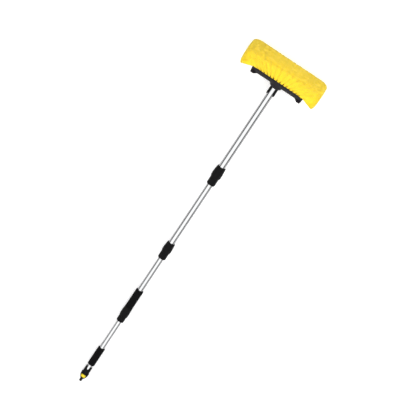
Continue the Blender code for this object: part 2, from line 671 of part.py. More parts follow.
def make_valve():
    """Shut-off valve on tube 4: body, fixed seat, and the turning rotor, ring and hose nipple."""
    tube = tube_radius(4) + GAP
    mouth = tube + VALVE_MOUTH_WALL
    foot = VALVE_POCKET_RADIUS + VALVE_FOOT_WALL
    outer = [(mouth, 0)]
    for down, out in VALVE_SHARES:
        outer.append((mouth + (VALVE_RADIUS - mouth) * out, VALVE_LENGTH * down))
    outer.append((foot, VALVE_LENGTH))
    body = turned("valve_body", VALVE_TOP, outer,
                  [(tube, 0), (tube, VALVE_SOCKET), (VALVE_POCKET_RADIUS, VALVE_SOCKET),
                   (VALVE_POCKET_RADIUS, VALVE_LENGTH)], LOCK_BLACK)
    combine(body, notch_cutter("mouth_notch", VALVE_TOP), "DIFFERENCE")
    disc = VALVE_POCKET_RADIUS - GAP
    seat_top = VALVE_TOP + VALVE_SOCKET + GAP
    seat = turned("valve_seat", seat_top, [(disc, 0), (disc, SEAT_THICKNESS)], [], INNER_WHITE,
                  HIDDEN_SIDES)
    combine(seat, port_cutter("seat_ports", seat_top, SEAT_THICKNESS), "DIFFERENCE")
    rotor_top = seat_top + SEAT_THICKNESS + GAP
    body_end = VALVE_TOP + VALVE_LENGTH
    ring_top = body_end + GAP
    ring_end = ring_top + RING_LENGTH
    collar_end = ring_end + GAP + NIPPLE_COLLAR_LENGTH
    stem_end = collar_end - NIPPLE_LAND - rotor_top
    rotor = turned("valve_rotor", rotor_top,
                   [(disc, 0), (disc, ROTOR_THICKNESS), (STEM_RADIUS, ROTOR_THICKNESS),
                    (STEM_RADIUS, stem_end)], [], INNER_WHITE, HIDDEN_SIDES)
    hollow = turned("stem_hollow", rotor_top + ROTOR_THICKNESS,
                    [(STEM_BORE, 0), (STEM_BORE, stem_end - ROTOR_THICKNESS + OVERRUN)], [], None,
                    HIDDEN_SIDES)
    combine(rotor, hollow, "DIFFERENCE")
    combine(rotor, port_cutter("rotor_ports", rotor_top, ROTOR_THICKNESS), "DIFFERENCE")
    seal_top = rotor_top + ROTOR_THICKNESS + GAP
    stem_bore = STEM_RADIUS + GAP
    ring("rotor_seal", seal_top, ROTOR_SEAL_HEIGHT, disc, stem_bore, SEAL_BLACK, HIDDEN_SIDES)
    retainer_top = seal_top + ROTOR_SEAL_HEIGHT + GAP
    ring("valve_retainer", retainer_top, body_end - retainer_top, disc, stem_bore, LOCK_BLACK,
         HIDDEN_SIDES)
    straight = RING_LENGTH * RING_STRAIGHT_SHARE
    turned("valve_ring", ring_top,
           [(RING_RADIUS, 0), (RING_RADIUS, straight), (RING_FOOT_RADIUS, RING_LENGTH)],
           [(stem_bore, 0), (stem_bore, RING_LENGTH)], RING_YELLOW)
    land_top = collar_end - NIPPLE_LAND + GAP
    groove = collar_end + NIPPLE_LENGTH / 2
    neck = NIPPLE_RADIUS - NIPPLE_GROOVE_DEPTH
    nipple_end = collar_end + NIPPLE_LENGTH
    outer = []
    for down, out in CAGE_SHARES:
        outer.append((NIPPLE_COLLAR_RADIUS + (CAGE_RADIUS - NIPPLE_COLLAR_RADIUS) * out,
                      ring_top + (collar_end - ring_top) * down))
    outer += [(NIPPLE_RADIUS, collar_end), (NIPPLE_RADIUS, groove), (neck, groove),
              (neck, groove + NIPPLE_GROOVE_LENGTH), (NIPPLE_RADIUS, groove + NIPPLE_GROOVE_LENGTH),
              (NIPPLE_RADIUS, nipple_end)]
    nipple = turned("hose_nipple", 0, outer,
                    [(RING_RADIUS + GAP, ring_top), (RING_RADIUS + GAP, ring_top + straight),
                     (RING_FOOT_RADIUS + GAP, ring_end + GAP), (stem_bore, ring_end + GAP),
                     (stem_bore, land_top), (NIPPLE_BORE, land_top), (NIPPLE_BORE, nipple_end)],
                    LOCK_BLACK)
    window = box("cage_window", (-CAGE_RADIUS - OVERRUN, -CAGE_WINDOW / 2, -OVERRUN),
                 (CAGE_RADIUS + OVERRUN, CAGE_WINDOW / 2, ring_end + GAP - ring_top), None, ring_top)
    combine(nipple, window, "DIFFERENCE")
    ring("nipple_seal", groove + GAP, NIPPLE_GROOVE_LENGTH - 2 * GAP, NIPPLE_RADIUS + GAP,
         neck + GAP, SEAL_BLACK, HIDDEN_SIDES)


def make_pole():
    """Tubes, locks, grips and valve, from the head down."""
    holes, tube_top = make_socket_collar()
    locks = (("a", 1, LOCK_A_TOP, LOCK_A_BARREL, LOCK_A_NUT, LOCK_A_RADIUS, 0),
             ("b", 2, LOCK_B_TOP, LOCK_B_BARREL, LOCK_B_NUT, LOCK_B_RADIUS, 0),
             ("c", 3, LOCK_C_TOP, LOCK_C_BARREL, LOCK_C_NUT, LOCK_C_RADIUS, LOCK_C_COVERED))
    for letter, number, top, barrel, nut, radius, covered in locks:
        tube_end, shoulder = make_lock(letter, number, top, barrel, nut, radius, covered)
        tube = make_tube(number, tube_top, tube_end)
        if number == 1:
            combine(tube, holes, "DIFFERENCE")
        tube_top = shoulder - PULL_OUT
    make_tube(4, tube_top, VALVE_TOP + VALVE_SOCKET - GAP)
    make_grips()
    make_valve()


def settle():
    """Move the brush so that the origin is the bottom centre of its box."""
    bpy.context.view_layer.update()
    graph = bpy.context.evaluated_depsgraph_get()
    points = []
    for piece in PARTS.objects:
        if piece.type == "MESH":
            solid = piece.evaluated_get(graph)
            points += [solid.matrix_world @ vert.co for vert in solid.data.vertices]
    low = [min(point[axis] for point in points) for axis in range(3)]
    high = [max(point[axis] for point in points) for axis in range(3)]
    POLE_AXIS.location = (-(low[0] + high[0]) / 2, -(low[1] + high[1]) / 2, -low[2])


make_bristles()
make_bumper()
make_block()
make_pole()
settle()
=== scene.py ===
"""Wash brush: a bristle head on a telescopic pole that carries water to it.

Every piece is drawn in the pole's own directions. Places along the pole run from the bristle tips
down to the hose end, Y runs along the head, and X runs across it, up from the floor.
"""

import json
import math

import bpy
import numpy as np
from mathutils import Matrix, Vector


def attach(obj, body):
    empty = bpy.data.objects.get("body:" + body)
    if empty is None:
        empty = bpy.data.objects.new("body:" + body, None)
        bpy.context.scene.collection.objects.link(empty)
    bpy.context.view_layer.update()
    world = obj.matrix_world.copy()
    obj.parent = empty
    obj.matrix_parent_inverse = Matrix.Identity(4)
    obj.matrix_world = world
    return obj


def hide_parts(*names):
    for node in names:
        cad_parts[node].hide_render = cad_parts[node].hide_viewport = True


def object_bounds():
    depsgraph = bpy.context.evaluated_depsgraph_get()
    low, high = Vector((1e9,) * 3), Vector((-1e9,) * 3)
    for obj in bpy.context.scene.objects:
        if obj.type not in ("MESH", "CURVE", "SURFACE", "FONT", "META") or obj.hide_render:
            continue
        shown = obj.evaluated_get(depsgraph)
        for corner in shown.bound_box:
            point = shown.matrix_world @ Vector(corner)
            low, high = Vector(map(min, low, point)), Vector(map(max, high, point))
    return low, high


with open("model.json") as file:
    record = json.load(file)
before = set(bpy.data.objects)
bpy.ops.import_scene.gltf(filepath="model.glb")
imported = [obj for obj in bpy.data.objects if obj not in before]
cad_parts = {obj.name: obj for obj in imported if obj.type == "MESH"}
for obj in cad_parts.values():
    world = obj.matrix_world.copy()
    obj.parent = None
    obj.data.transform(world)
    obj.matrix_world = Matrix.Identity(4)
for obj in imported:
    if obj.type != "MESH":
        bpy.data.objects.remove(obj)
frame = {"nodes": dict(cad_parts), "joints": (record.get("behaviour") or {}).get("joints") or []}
cad_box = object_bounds()
scene = bpy.context.scene

# The pole's directions
# The locks, the sliding tubes and the valve share one axis, so the valve's joint gives it. The
# bristle tips are the plane that places along the pole are measured from.
valve_turn = next(joint for joint in frame["joints"] if joint["name"] == "valve_turn")
down_pole = -Vector(valve_turn["axis"]).normalized()
along_head = Vector((0, 1, 0))
up_head = along_head.cross(down_pole).normalized()
POLE = Matrix((up_head, along_head, down_pole)).transposed().to_4x4()
POLE.translation = Vector(valve_turn["pos_m"])
tips = min((POLE.inverted() @ vert.co).z for vert in frame["nodes"]["tuft_row_3"].data.vertices)
POLE.translation += down_pole * tips
TO_POLE = POLE.inverted()
GAP = 0.0003  # left free between neighbouring pieces


def corners(node):
    """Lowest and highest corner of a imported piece, in the pole's directions."""
    places = np.array([TO_POLE @ vert.co for vert in frame["nodes"][node].data.vertices])
    return Vector(places.min(0)), Vector(places.max(0))


# Bristles
# Fine yellow filaments, stapled in bundles into five black strips, seventeen bundles to a strip.
# The bundles splay out of their holes, and the whole pile is then trimmed flat-sided.
TUFTS = 17
ROWS = 5
FILAMENTS = 310  # in each bundle
FILAMENT_STEPS = (0, 0.10, 0.24, 0.45, 0.72, 1)
FILAMENT_RADII = (0.00016, 0.00022, 0.00030, 0.00038, 0.00044, 0.00046)  # at those steps
FILAMENT_SPREAD = (0.75, 1.2)  # the thinnest and the thickest filament, against those radii
FILAMENT_SIDES = 3
SIDES_START = (0.3, 0.2, 0.93)  # any direction, from which a filament's sides are turned
TUFT_ROOT = 0.0038
TUFT_OVERLAP = 0.66  # of the place between bundles, to each side
LIP_WALL = 0.003
SPLAY_SHARE = 0.45  # of the length, over which a bundle opens to fill its place
TRIM_HEIGHTS = (0.0525, 0.0545)  # of the trimmed long sides and ends
TRIM_SHY = 0.0006
TRIM_CORNER = 0.024
TRIM_EDGE = 0.004
TRIM_END_EDGE = 0.012
TRIM_UNEVEN = 0.0020
TRIM_FURTHEST = 1.05  # of the way to the plane of the tips
TRIM_HALVINGS = 20
STRAY = 0.0024  # how far filaments wander from their straight way
STRAY_TURN = 4
STRAY_NONE = 1.04  # where on the way it would end
END_BACK = 0.021  # how far the end bundles bend back beside the block
END_BACK_POWERS = (1.5, 0.9)  # of that bend, from bundle to bundle and along a filament
END_BACK_FURTHEST = 1.1
END_ROUNDING = 0.006  # how much shorter their outermost filaments are
END_ROUNDING_POWER = 9
TONES = 64
TONE_MARGIN = 0.1  # of a tone's strip on the chart, left free at both edges
CAP_REACH = 0.02  # of the chart's length, for the ends of filaments
CORE_TONES = 8  # the deepest tones belong to the hearts of the bundles
CORE_SIDES = 20
CORE_STEPS = (0, 0.08, 0.18, 0.32, 0.5, 0.7, 0.88)
CORE_END_STEPS = (0.985, 1)  # where the heart is full, at the cut end
CORE_END_RINGS = (0.96, 0.66, 0.3)  # which close it
CORE_END_REACHES = (0.85, 0.84, 0.83, 0.82, 0.81)  # on the chart, for the steps and rings there
CORE_CAP_REACHES = (0.0, 0.78)
CORE_FULLNESS = 1.06  # at the cut end
CORE_WAIST = 0.76  # of that, further up, where filaments lie round the heart
CORE_SQUARENESS = 0.8
CORE_DENTS = ((0.05, 5, 900), (0.03, 8, 0))  # depth, count, and shift from bundle to bundle
CORE_SHORT = 0.0021
# The root yellow and the shaded yellow are painted shade, down among the bundle roots where they shade
# each other and the strips.
ROOT_PAINTED_SHADE = (0.26, 0.09, 0.003, 1)
SHADED_YELLOW = (0.84, 0.50, 0.006, 1)
MIDDLE_YELLOW = (1.0, 0.70, 0.008, 1)
TIP_YELLOW = (1.0, 0.80, 0.085, 1)
DEEP_YELLOW = (1.0, 0.72, 0.012, 1)
STRIP_BLACK = (0.012, 0.010, 0.012, 1)
STRIP_GREY = (0.03, 0.026, 0.03, 1)
STRIP_GRAIN = 0.0001
STRIP_ROUND = 0.0004
chance = np.random.default_rng(17)


class Wire:
    """An output of a material's node. Sums and products of wires add Math nodes."""

    def __init__(self, socket):
        self.socket = socket

    def node(self, kind, settings=None, sockets=None, output=0):
        """Add a node: its settings, then a value or a wire for each of its sockets."""
        made = self.socket.id_data.nodes.new("ShaderNode" + kind)
        for name, value in (settings or {}).items():
            if name == "stops":
                made.color_ramp.elements.remove(made.color_ramp.elements[1])
                for place, colour in value[1:]:
                    made.color_ramp.elements.new(place).color = colour
                made.color_ramp.elements[0].position = value[0][0]
                made.color_ramp.elements[0].color = value[0][1]
            else:
                setattr(made, name, value)
        for name, value in (sockets or {}).items():
            if isinstance(value, Wire):
                made.id_data.links.new(value.socket, made.inputs[name])
            else:
                made.inputs[name].default_value = value
        return Wire(made.outputs[output])

    def math(self, operation, first, second):
        return self.node("Math", {"operation": operation}, {0: first, 1: second})

    def __add__(self, other):
        return self.math("ADD", self, other)

    def __sub__(self, other):
        return self.math("SUBTRACT", self, other)

    def __rsub__(self, other):
        return self.math("SUBTRACT", other, self)

    def __mul__(self, other):
        return self.math("MULTIPLY", self, other)

    def __abs__(self):
        return self.math("ABSOLUTE", self, 0)

    __radd__ = __add__
    __rmul__ = __mul__

    def axis(self, number):
        """This vector's x, y or z, numbered from 0."""
        return self.node("SeparateXYZ", None, {"Vector": self}, number)

    def between(self, low, high):
        """0 below low, 1 above high."""
        return self.node("MapRange", None, {"Value": self, "From Min": low, "From Max": high})

    def mix(self, first, second):
        """A colour between two others."""
        return self.node("Mix", {"data_type": "RGBA"}, {0: self, 6: first, 7: second}, 2)

    def noise(self, scale, detail=2.0, roughness=0.5):
        """Even noise over this vector."""
        return self.node("TexNoise", None, {"Vector": self, "Scale": scale, "Detail": detail,
                                            "Roughness": roughness})

    def stretched(self, x, y, z):
        """This vector, stretched along its axes."""
        return self.node("VectorMath", {"operation": "MULTIPLY"}, {0: self, 1: (x, y, z)})


def new_finish(name, **constants):
    """A material, its shader and a wire with the place on the piece."""
    finish = bpy.data.materials.new(name)
    finish.use_nodes = True
    shader = finish.node_tree.nodes["Principled BSDF"]
    for socket, value in constants.items():
        shader.inputs[socket.replace("_", " ")].default_value = value
    start = finish.node_tree.nodes.new("ShaderNodeTexCoord")
    return finish, shader, Wire(start.outputs["Object"])


def feed(shader, **wires):
    """Link wires into the shader."""
    for socket, wire in wires.items():
        shader.id_data.links.new(wire.socket, shader.inputs[socket.replace("_", " ")])


def emboss(height, depth, strength=1.0):
    """Turn a height from 0 to 1 into a relief of that depth in metres."""
    return height.node("Bump", None, {"Height": height, "Distance": depth, "Strength": strength})


def make_piece(name, points, faces, finish, smooth=True, matrix=POLE):
    """A mesh in the pole's directions."""
    mesh = bpy.data.meshes.new(name)
    mesh.from_pydata(np.asarray(points).reshape(-1, 3).tolist(), [], faces)
    mesh.materials.append(finish)
    if smooth:
        mesh.shade_smooth()
    piece = bpy.data.objects.new(name, mesh)
    scene.collection.objects.link(piece)
    piece.matrix_world = matrix
    return piece


rim_low, rim_high = corners("bumper_rim")
roots = rim_low.z
strip_back = corners("tuft_row_3")[1].z
trim_half = (corners("tuft_row_5")[1].x, corners("tuft_row_3")[1].y)
strip_half = (rim_high.x - LIP_WALL - GAP, rim_high.y - LIP_WALL - GAP)
pitch = ((2 * strip_half[0] + GAP) / ROWS, (2 * strip_half[1] - TUFT_ROOT) / TUFTS)
spread = [(half + height) / (step * count / 2)
          for half, height, step, count in zip(trim_half, TRIM_HEIGHTS, pitch, (ROWS, TUFTS))]


def splayed(axis, tuft, aside, down):
    """Place of filaments across one axis. Aside is the place in the bundle, 0.5 where the next
    one starts, and down runs from the root at 0 to the plane of the tips at 1."""
    start = tuft + TUFT_ROOT * aside
    aim = np.abs((tuft + pitch[axis] * aside) * spread[axis])
    rise = np.clip(aim - trim_half[axis], 0, TRIM_HEIGHTS[axis] - TRIM_SHY)
    up_side = np.abs(start) + (trim_half[axis] - np.abs(start)) * roots / (roots - rise)
    goal = np.where(rise > 0, up_side, aim) * np.sign((tuft + pitch[axis] * aside))
    gathered = np.clip(1 - down / SPLAY_SHARE, 0, 1) ** 2
    width = pitch[axis] - (pitch[axis] - TUFT_ROOT) * gathered
    return (tuft + width * aside) * (1 - down) + goal * down


def end_share(tuft, aside):
    """0 for the middle bundles, 1 for the outermost filaments of the end bundles."""
    aim = np.abs((tuft[1] + pitch[1] * aside[1]) * spread[1]) - trim_half[1]
    return np.clip(aim / TRIM_HEIGHTS[1], 0, 1)


def drawn_back(tuft, aside, y):
    """How far filaments of the end bundles lean back towards the pole, where they reach y."""
    start = np.abs(tuft[1] + TUFT_ROOT * aside[1])
    out = np.clip((np.abs(y) - start) / (trim_half[1] - start), 0, END_BACK_FURTHEST)
    return END_BACK * end_share(tuft, aside) ** END_BACK_POWERS[0] * out ** END_BACK_POWERS[1]


def outside_trim(x, y, z):
    """How far places lie outside the trimmed pile; less than zero inside."""
    over = np.clip(TRIM_END_EDGE - z, 0, TRIM_END_EDGE)
    y = np.abs(y) + TRIM_END_EDGE - np.sqrt(TRIM_END_EDGE ** 2 - over ** 2)
    flat = [np.abs(value) - half + TRIM_CORNER for value, half in zip((x, y), trim_half)]
    side = np.hypot(np.maximum(flat[0], 0), np.maximum(flat[1], 0)) - TRIM_CORNER
    side = side + np.minimum(np.maximum(flat[0], flat[1]), 0) + TRIM_EDGE
    end = TRIM_EDGE - z
    return (np.hypot(np.maximum(side, 0), np.maximum(end, 0))
            + np.minimum(np.maximum(side, end), 0) - TRIM_EDGE)


def cut_at_trim(tuft, aside, short):
    """How far down each filament is cut, between its root and the plane of the tips."""
    short = short + END_ROUNDING * end_share(tuft, aside) ** END_ROUNDING_POWER
    low = np.zeros(len(short))
    high = np.full(len(short), TRIM_FURTHEST)
    for _ in range(TRIM_HALVINGS):
        middle = (low + high) / 2
        x, y = [splayed(axis, tuft[axis], aside[axis], middle) for axis in (0, 1)]
        z = roots * (1 - middle) + drawn_back(tuft, aside, y)
        inside = outside_trim(x, y, z) < -short
        low = np.where(inside, middle, low)
        high = np.where(inside, high, middle)
    return low


def filament_paths(tuft, aside, short, steps):
    """Points down each filament, one row of points for each step."""
    cut = cut_at_trim(tuft, aside, short)
    rows = []
    for step in steps:
        down = cut * step
        x, y = [splayed(axis, tuft[axis], aside[axis], down) for axis in (0, 1)]
        rows.append(np.stack((x, y, roots * (1 - down) + drawn_back(tuft, aside, y)), 1))
    return np.array(rows)


def filaments(tuft):
    """Points of one bundle's filaments, and the tone of each."""
    aside = chance.uniform(-TUFT_OVERLAP, TUFT_OVERLAP, (2, FILAMENTS))
    short = TRIM_UNEVEN * chance.uniform(0, 1, FILAMENTS) ** 2
    paths = filament_paths(tuft, aside, short, FILAMENT_STEPS)
    bend = chance.normal(0, STRAY, (2, FILAMENTS))
    swing = chance.uniform(0, 2 * math.pi, FILAMENTS)
    for path, step in zip(paths, FILAMENT_STEPS):
        phase = swing + STRAY_TURN * step
        wander = bend * (np.sin(phase), np.cos(phase)) * step * (STRAY_NONE - step)
        path[:, :2] += wander.T
    way = paths[-1] - paths[0]
    way /= np.linalg.norm(way, axis=1, keepdims=True)
    first = np.cross(way, SIDES_START)
    first /= np.linalg.norm(first, axis=1, keepdims=True)
    second = np.cross(way, first)
    turn = chance.uniform(0, 2 * math.pi, FILAMENTS)
    thick = chance.uniform(*FILAMENT_SPREAD, FILAMENTS)
    points = []
    for path, radius in zip(paths, FILAMENT_RADII):
        for side in range(FILAMENT_SIDES):
            angle = (turn + 2 * math.pi * side / FILAMENT_SIDES)[:, None]
            points.append(path + (first * np.cos(angle) + second * np.sin(angle))
                          * (radius * thick)[:, None])
    points = np.array(points).transpose(1, 0, 2)
    tone = chance.integers(CORE_TONES, TONES, FILAMENTS)
    return points, tone


def side_faces(rings, sides):
    """Faces between rings of points, each ring after the one before it."""
    faces = []
    for ring in range(rings - 1):
        for side in range(sides):
            after = (side + 1) % sides
            faces.append((ring * sides + side, ring * sides + after,
                          (ring + 1) * sides + after, (ring + 1) * sides + side))
    return faces


def bundle_heart(tuft):
    """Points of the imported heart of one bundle: its skin, then rings that close its cut end."""
    angle = -np.linspace(0, 2 * math.pi, CORE_SIDES, endpoint=False)
    square = np.maximum(np.abs(np.cos(angle)), np.abs(np.sin(angle))) ** CORE_SQUARENESS
    edge = np.array((np.cos(angle), np.sin(angle))) / square / 2
    dents = sum(depth * np.sin(count * angle + tuft[1] * shift) for depth, count, shift in CORE_DENTS)
    aside = edge * CORE_FULLNESS * (1 + dents)
    short = np.full(CORE_SIDES, CORE_SHORT)
    rings = list(filament_paths(tuft, aside * CORE_WAIST, short, CORE_STEPS))
    rings += list(filament_paths(tuft, aside, short, CORE_END_STEPS))
    for inward in CORE_END_RINGS:
        rings.append(filament_paths(tuft, aside * inward, short, (1,))[0])
    return np.array(rings)


def end_caps(rings, sides):
    """The faces that close the first and the last ring of points."""
    last = (rings - 1) * sides
    return [tuple(reversed(range(sides))), tuple(range(last, last + sides))]


def on_chart(shade, across, reach):
    """Place on the chart of yellows: each tone has a strip of it, and reach runs down the strip."""
    return ((shade + TONE_MARGIN + (1 - 2 * TONE_MARGIN) * across) / TONES, reach)


def bristle_row(row):
    """One strip's bundles as one mesh, each face placed on the finish by its tone and reach."""
    points, faces, places = [], [], []
    count = 0
    strand_faces = side_faces(len(FILAMENT_STEPS), FILAMENT_SIDES)
    strand_caps = end_caps(len(FILAMENT_STEPS), FILAMENT_SIDES)
    core_reaches = CORE_STEPS + CORE_END_REACHES
    core_faces = side_faces(len(core_reaches), CORE_SIDES)
    core_caps = end_caps(len(core_reaches), CORE_SIDES)
    for index in range(TUFTS):
        tuft = ((row - (ROWS - 1) / 2) * pitch[0], (index - (TUFTS - 1) / 2) * pitch[1])
        made, tone = filaments(tuft)
        for strand, shade in zip(made, tone):
            points.append(strand)
            for face in strand_faces:
                faces.append(tuple(count + corner for corner in face))
                for order, corner in enumerate(face):
                    places.append(on_chart(shade, order in (1, 2),
                                           FILAMENT_STEPS[corner // FILAMENT_SIDES]))
            for cap, reach in zip(strand_caps, (0, 1 - CAP_REACH)):
                faces.append(tuple(count + corner for corner in cap))
                for order in range(FILAMENT_SIDES):
                    places.append(on_chart(shade, order == 1, reach + CAP_REACH * (order == 2)))
            count += len(strand)
        heart = bundle_heart(tuft).reshape(-1, 3)
        points.append(heart)
        shade = chance.integers(0, CORE_TONES)
        for face in core_faces:
            faces.append(tuple(count + corner for corner in face))
            for order, corner in enumerate(face):
                places.append(on_chart(shade, order in (1, 2), core_reaches[corner // CORE_SIDES]))
        for cap, reach in zip(core_caps, CORE_CAP_REACHES):
            faces.append(tuple(count + corner for corner in cap))
            for order in range(CORE_SIDES):
                around = 2 * math.pi * order / CORE_SIDES
                places.append(on_chart(shade, 0.5 + 0.5 * math.cos(around),
                                       reach + CAP_REACH + CAP_REACH * math.sin(around)))
        count += len(heart)
    piece = make_piece("bristles_row_%d" % (row + 1), np.concatenate(points), faces,
                       bristle_finish)
    layer = piece.data.uv_layers.new(name="OFBake")
    layer.data.foreach_set("uv", np.array(places, np.float32).ravel())
    return piece


bristle_finish, shader, _ = new_finish("yellow_filament", Roughness=0.55, Specular_IOR_Level=0.3)
chart = bristle_finish.node_tree.nodes.new("ShaderNodeUVMap")
chart.uv_map = "OFBake"
place = Wire(chart.outputs["UV"])
tone = place.axis(0)
reach = place.axis(1)
# Down each filament: painted shade at the roots, then the yellow, then the paler tips.
length_colour_and_root_shade = reach.node("ValToRGB", {"stops": [(0.04, ROOT_PAINTED_SHADE), (0.15, SHADED_YELLOW),
                                                  (0.30, MIDDLE_YELLOW), (0.80, MIDDLE_YELLOW),
                                                  (1.0, TIP_YELLOW)]},
                           {"Fac": reach})
depth = (1 - tone.between(0.0, 0.55)) * (1 - reach * 0.75)
feed(shader, Base_Color=depth.mix(length_colour_and_root_shade, DEEP_YELLOW),
     Roughness=tone * 0.25 + 0.45)

strip_finish, shader, spot = new_finish("strip_plastic", Roughness=0.5)
feed(shader, Base_Color=spot.noise(900).mix(STRIP_BLACK, STRIP_GREY),
     Normal=emboss(spot.noise(1800), STRIP_GRAIN))


def bar_faces(rings, sides):
    """Faces of a closed bar made of rings of points."""
    return side_faces(rings, sides) + end_caps(rings, sides)


for row in range(ROWS):
    bristles = bristle_row(row)
    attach(bristles, "root")
    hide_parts("tuft_row_%d" % (row + 1))
    middle = (row - (ROWS - 1) / 2) * pitch[0]
    half = (pitch[0] - GAP) / 2
    section = [(-half, STRIP_ROUND), (-half + STRIP_ROUND, 0), (half - STRIP_ROUND, 0),
               (half, STRIP_ROUND), (half, strip_back - roots), (-half, strip_back - roots)]
    ends = [[(middle + x, y, roots + z) for x, z in section] for y in (strip_half[1], -strip_half[1])]
    strip = make_piece("bristle_strip_%d" % (row + 1), ends, bar_faces(2, len(section)),
                       strip_finish, False)
    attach(strip, "root")

# Bumper
# One soft black rubber moulding round the block: a lip round the strips, an apron that slopes up
# to a rounded rim, and a thick wall at each end that rises towards one long side.
RUBBER_BLACK = (0.0070, 0.0055, 0.0070, 1)
RUBBER_GREY = (0.0215, 0.0165, 0.0215, 1)
BUMPER_CORNER = 0.009
INNER_CORNER = 0.0025
LIP_HEIGHT = 0.005
APRON_INSET = 0.016
RIM_WIDTH = 0.004
RIM_HEIGHT = 0.022
WALL_FOOT = 0.020
WALL_TOP = 0.013
WALL_FRONT = -0.036
WALL_CREST = (0.010, 0.031)
WALL_BACK = 0.0354
WALL_LEAN = 0.0003
WALL_RUN_OUT = 0.008  # along the long sides, over which the walls rise
LIP_ROUNDS = (0.0008, 0.002, 0.0006)  # outside at the strips, under the apron, inside
RIM_ROUNDS = (0.0018, 0.0012)
WALL_ROUNDS = (0.0040, 0.0045)
BUMPER_GRAIN = 0.00018
SIDE_STATIONS = 40
END_STATIONS = 48
CORNER_STATIONS = 8


def filleted(outline, steps=4):
    """Round the corners of a closed outline. Each corner has its own radius as a third value."""
    points = []
    for index, (x, y, radius) in enumerate(outline):
        corner = Vector((x, y))
        before = Vector(outline[index - 1][:2]) - corner
        after = Vector(outline[(index + 1) % len(outline)][:2]) - corner
        if radius == 0:
            points.append(tuple(corner))
            continue
        start = corner + before.normalized() * min(radius, before.length * 0.49)
        finish = corner + after.normalized() * min(radius, after.length * 0.49)
        for step in range(steps + 1):
            share = step / steps
            points.append(tuple(start * (1 - share) ** 2 + corner * 2 * share * (1 - share)
                                + finish * share ** 2))
    return points


def wrapped_faces(stations, sides):
    """Faces of a closed ring whose section is closed too."""
    faces = []
    for station in range(stations):
        after = (station + 1) % stations
        for side in range(sides):
            beside = (side + 1) % sides
            faces.append((station * sides + side, after * sides + side,
                          after * sides + beside, station * sides + beside))
    return faces


def round_head(half_x, half_y, radius):
    """Places round a rectangle with round corners, always the same count in the same order."""
    places = []
    for turn in range(4):
        long_side = turn % 2 == 0
        run = (half_y if long_side else half_x) - radius
        out = half_x if long_side else half_y
        stations = SIDE_STATIONS if long_side else END_STATIONS
        spin = turn * math.pi / 2
        side = []
        for station in range(stations):
            side.append((out, run * (2 * (station + 0.5) / stations - 1)))
        for station in range(CORNER_STATIONS + 1):
            angle = math.pi / 2 * station / CORNER_STATIONS
            side.append((out - radius + radius * math.cos(angle), run + radius * math.sin(angle)))
        for x, y in side:
            places.append((x * math.cos(spin) - y * math.sin(spin),
                           x * math.sin(spin) + y * math.cos(spin)))
    return places


def step_up(value, low, high):
    """A smooth step from 0 at low to 1 at high."""
    share = min(max((value - low) / (high - low), 0), 1)
    return share * share * (3 - 2 * share)


def bumper_outline(lean, crest, rise, rounds):
    """The bumper's section: its lip round the strips, the crest, and the inside. Each point gives
    how far in it lies from the outside, and its place."""
    return filleted([
        (0, roots, LIP_ROUNDS[0]), (lean, roots + LIP_HEIGHT, LIP_ROUNDS[1]),
        (crest[0], rise, rounds[0]), (crest[1], rise, rounds[1]),
        (APRON_INSET + RIM_WIDTH, strip_back + GAP, 0), (LIP_WALL, strip_back + GAP, 0),
        (LIP_WALL, roots, LIP_ROUNDS[2])])


wall_slope = (WALL_FOOT - WALL_TOP) / 2
apron_outline = bumper_outline(0, (APRON_INSET, APRON_INSET + RIM_WIDTH), roots + RIM_HEIGHT,
                               RIM_ROUNDS)
wall_outline = bumper_outline(WALL_LEAN, (wall_slope, wall_slope + WALL_TOP), rim_high.z,
                              WALL_ROUNDS)
bumper_rings = []
for apron_point, wall_point in zip(apron_outline, wall_outline):
    apron_ring, wall_ring = [
        round_head(rim_high.x - inset, rim_high.y - inset, max(BUMPER_CORNER - inset, INNER_CORNER))
        for inset in (apron_point[0], wall_point[0])]
    ring = []
    for (apron_x, apron_y), (wall_x, wall_y) in zip(apron_ring, wall_ring):
        at_end = step_up(abs(apron_y), rim_high.y - WALL_FOOT - WALL_RUN_OUT, rim_high.y - WALL_FOOT)
        rise = step_up(wall_x, WALL_FRONT, WALL_CREST[0])
        rise *= 1 - step_up(wall_x, WALL_CREST[1], WALL_BACK)
        share = rise * at_end
        ring.append((apron_x * (1 - share) + wall_x * share, apron_y * (1 - share) + wall_y * share,
                     apron_point[1] * (1 - share) + wall_point[1] * share))
    bumper_rings.append(ring)
bumper_points = np.array(bumper_rings).transpose(1, 0, 2)

rubber, shader, spot = new_finish("bumper_rubber", Specular_IOR_Level=0.1)
grain = spot.noise(950, 3)
wear = spot.noise(38, 4, 0.6).between(0.45, 0.8)
feed(shader, Base_Color=(grain * 0.5 + wear * 0.5).mix(RUBBER_BLACK, RUBBER_GREY),
     Roughness=grain * 0.20 + wear * 0.12 + 0.34, Normal=emboss(grain, BUMPER_GRAIN, 0.8))
bumper = make_piece("bumper", bumper_points,
                    wrapped_faces(len(bumper_points), len(apron_outline)), rubber)
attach(bumper, "root")
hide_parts("bumper_rim")

# Block
# The hard black core of the head, moulded with grained floor panels on both sides of an arched
# hump that takes the pole. Two ridge bars lie on one panel and a groove in the other.
BLOCK_BLACK = (0.007, 0.0055, 0.007, 1)
BLOCK_GREY = (0.022, 0.018, 0.023, 1)
SOCKET_BORE = 0.0148
SOCKET_BEVEL = 0.0004
SOCKET_DEPTH = 0.021
WATERWAY = 0.0098
FLOOR_RISE = 0.016  # of the floor panels, from the strips' face
FLOOR_BEVEL = ((0, 0.0006), (0.0002, 0.0002), (0.0006, 0))  # inwards and under the panels
BLOCK_SQUARENESS = 24
HUMP_FOOT = (0.0250, 0.0250)  # half its size across and along the head
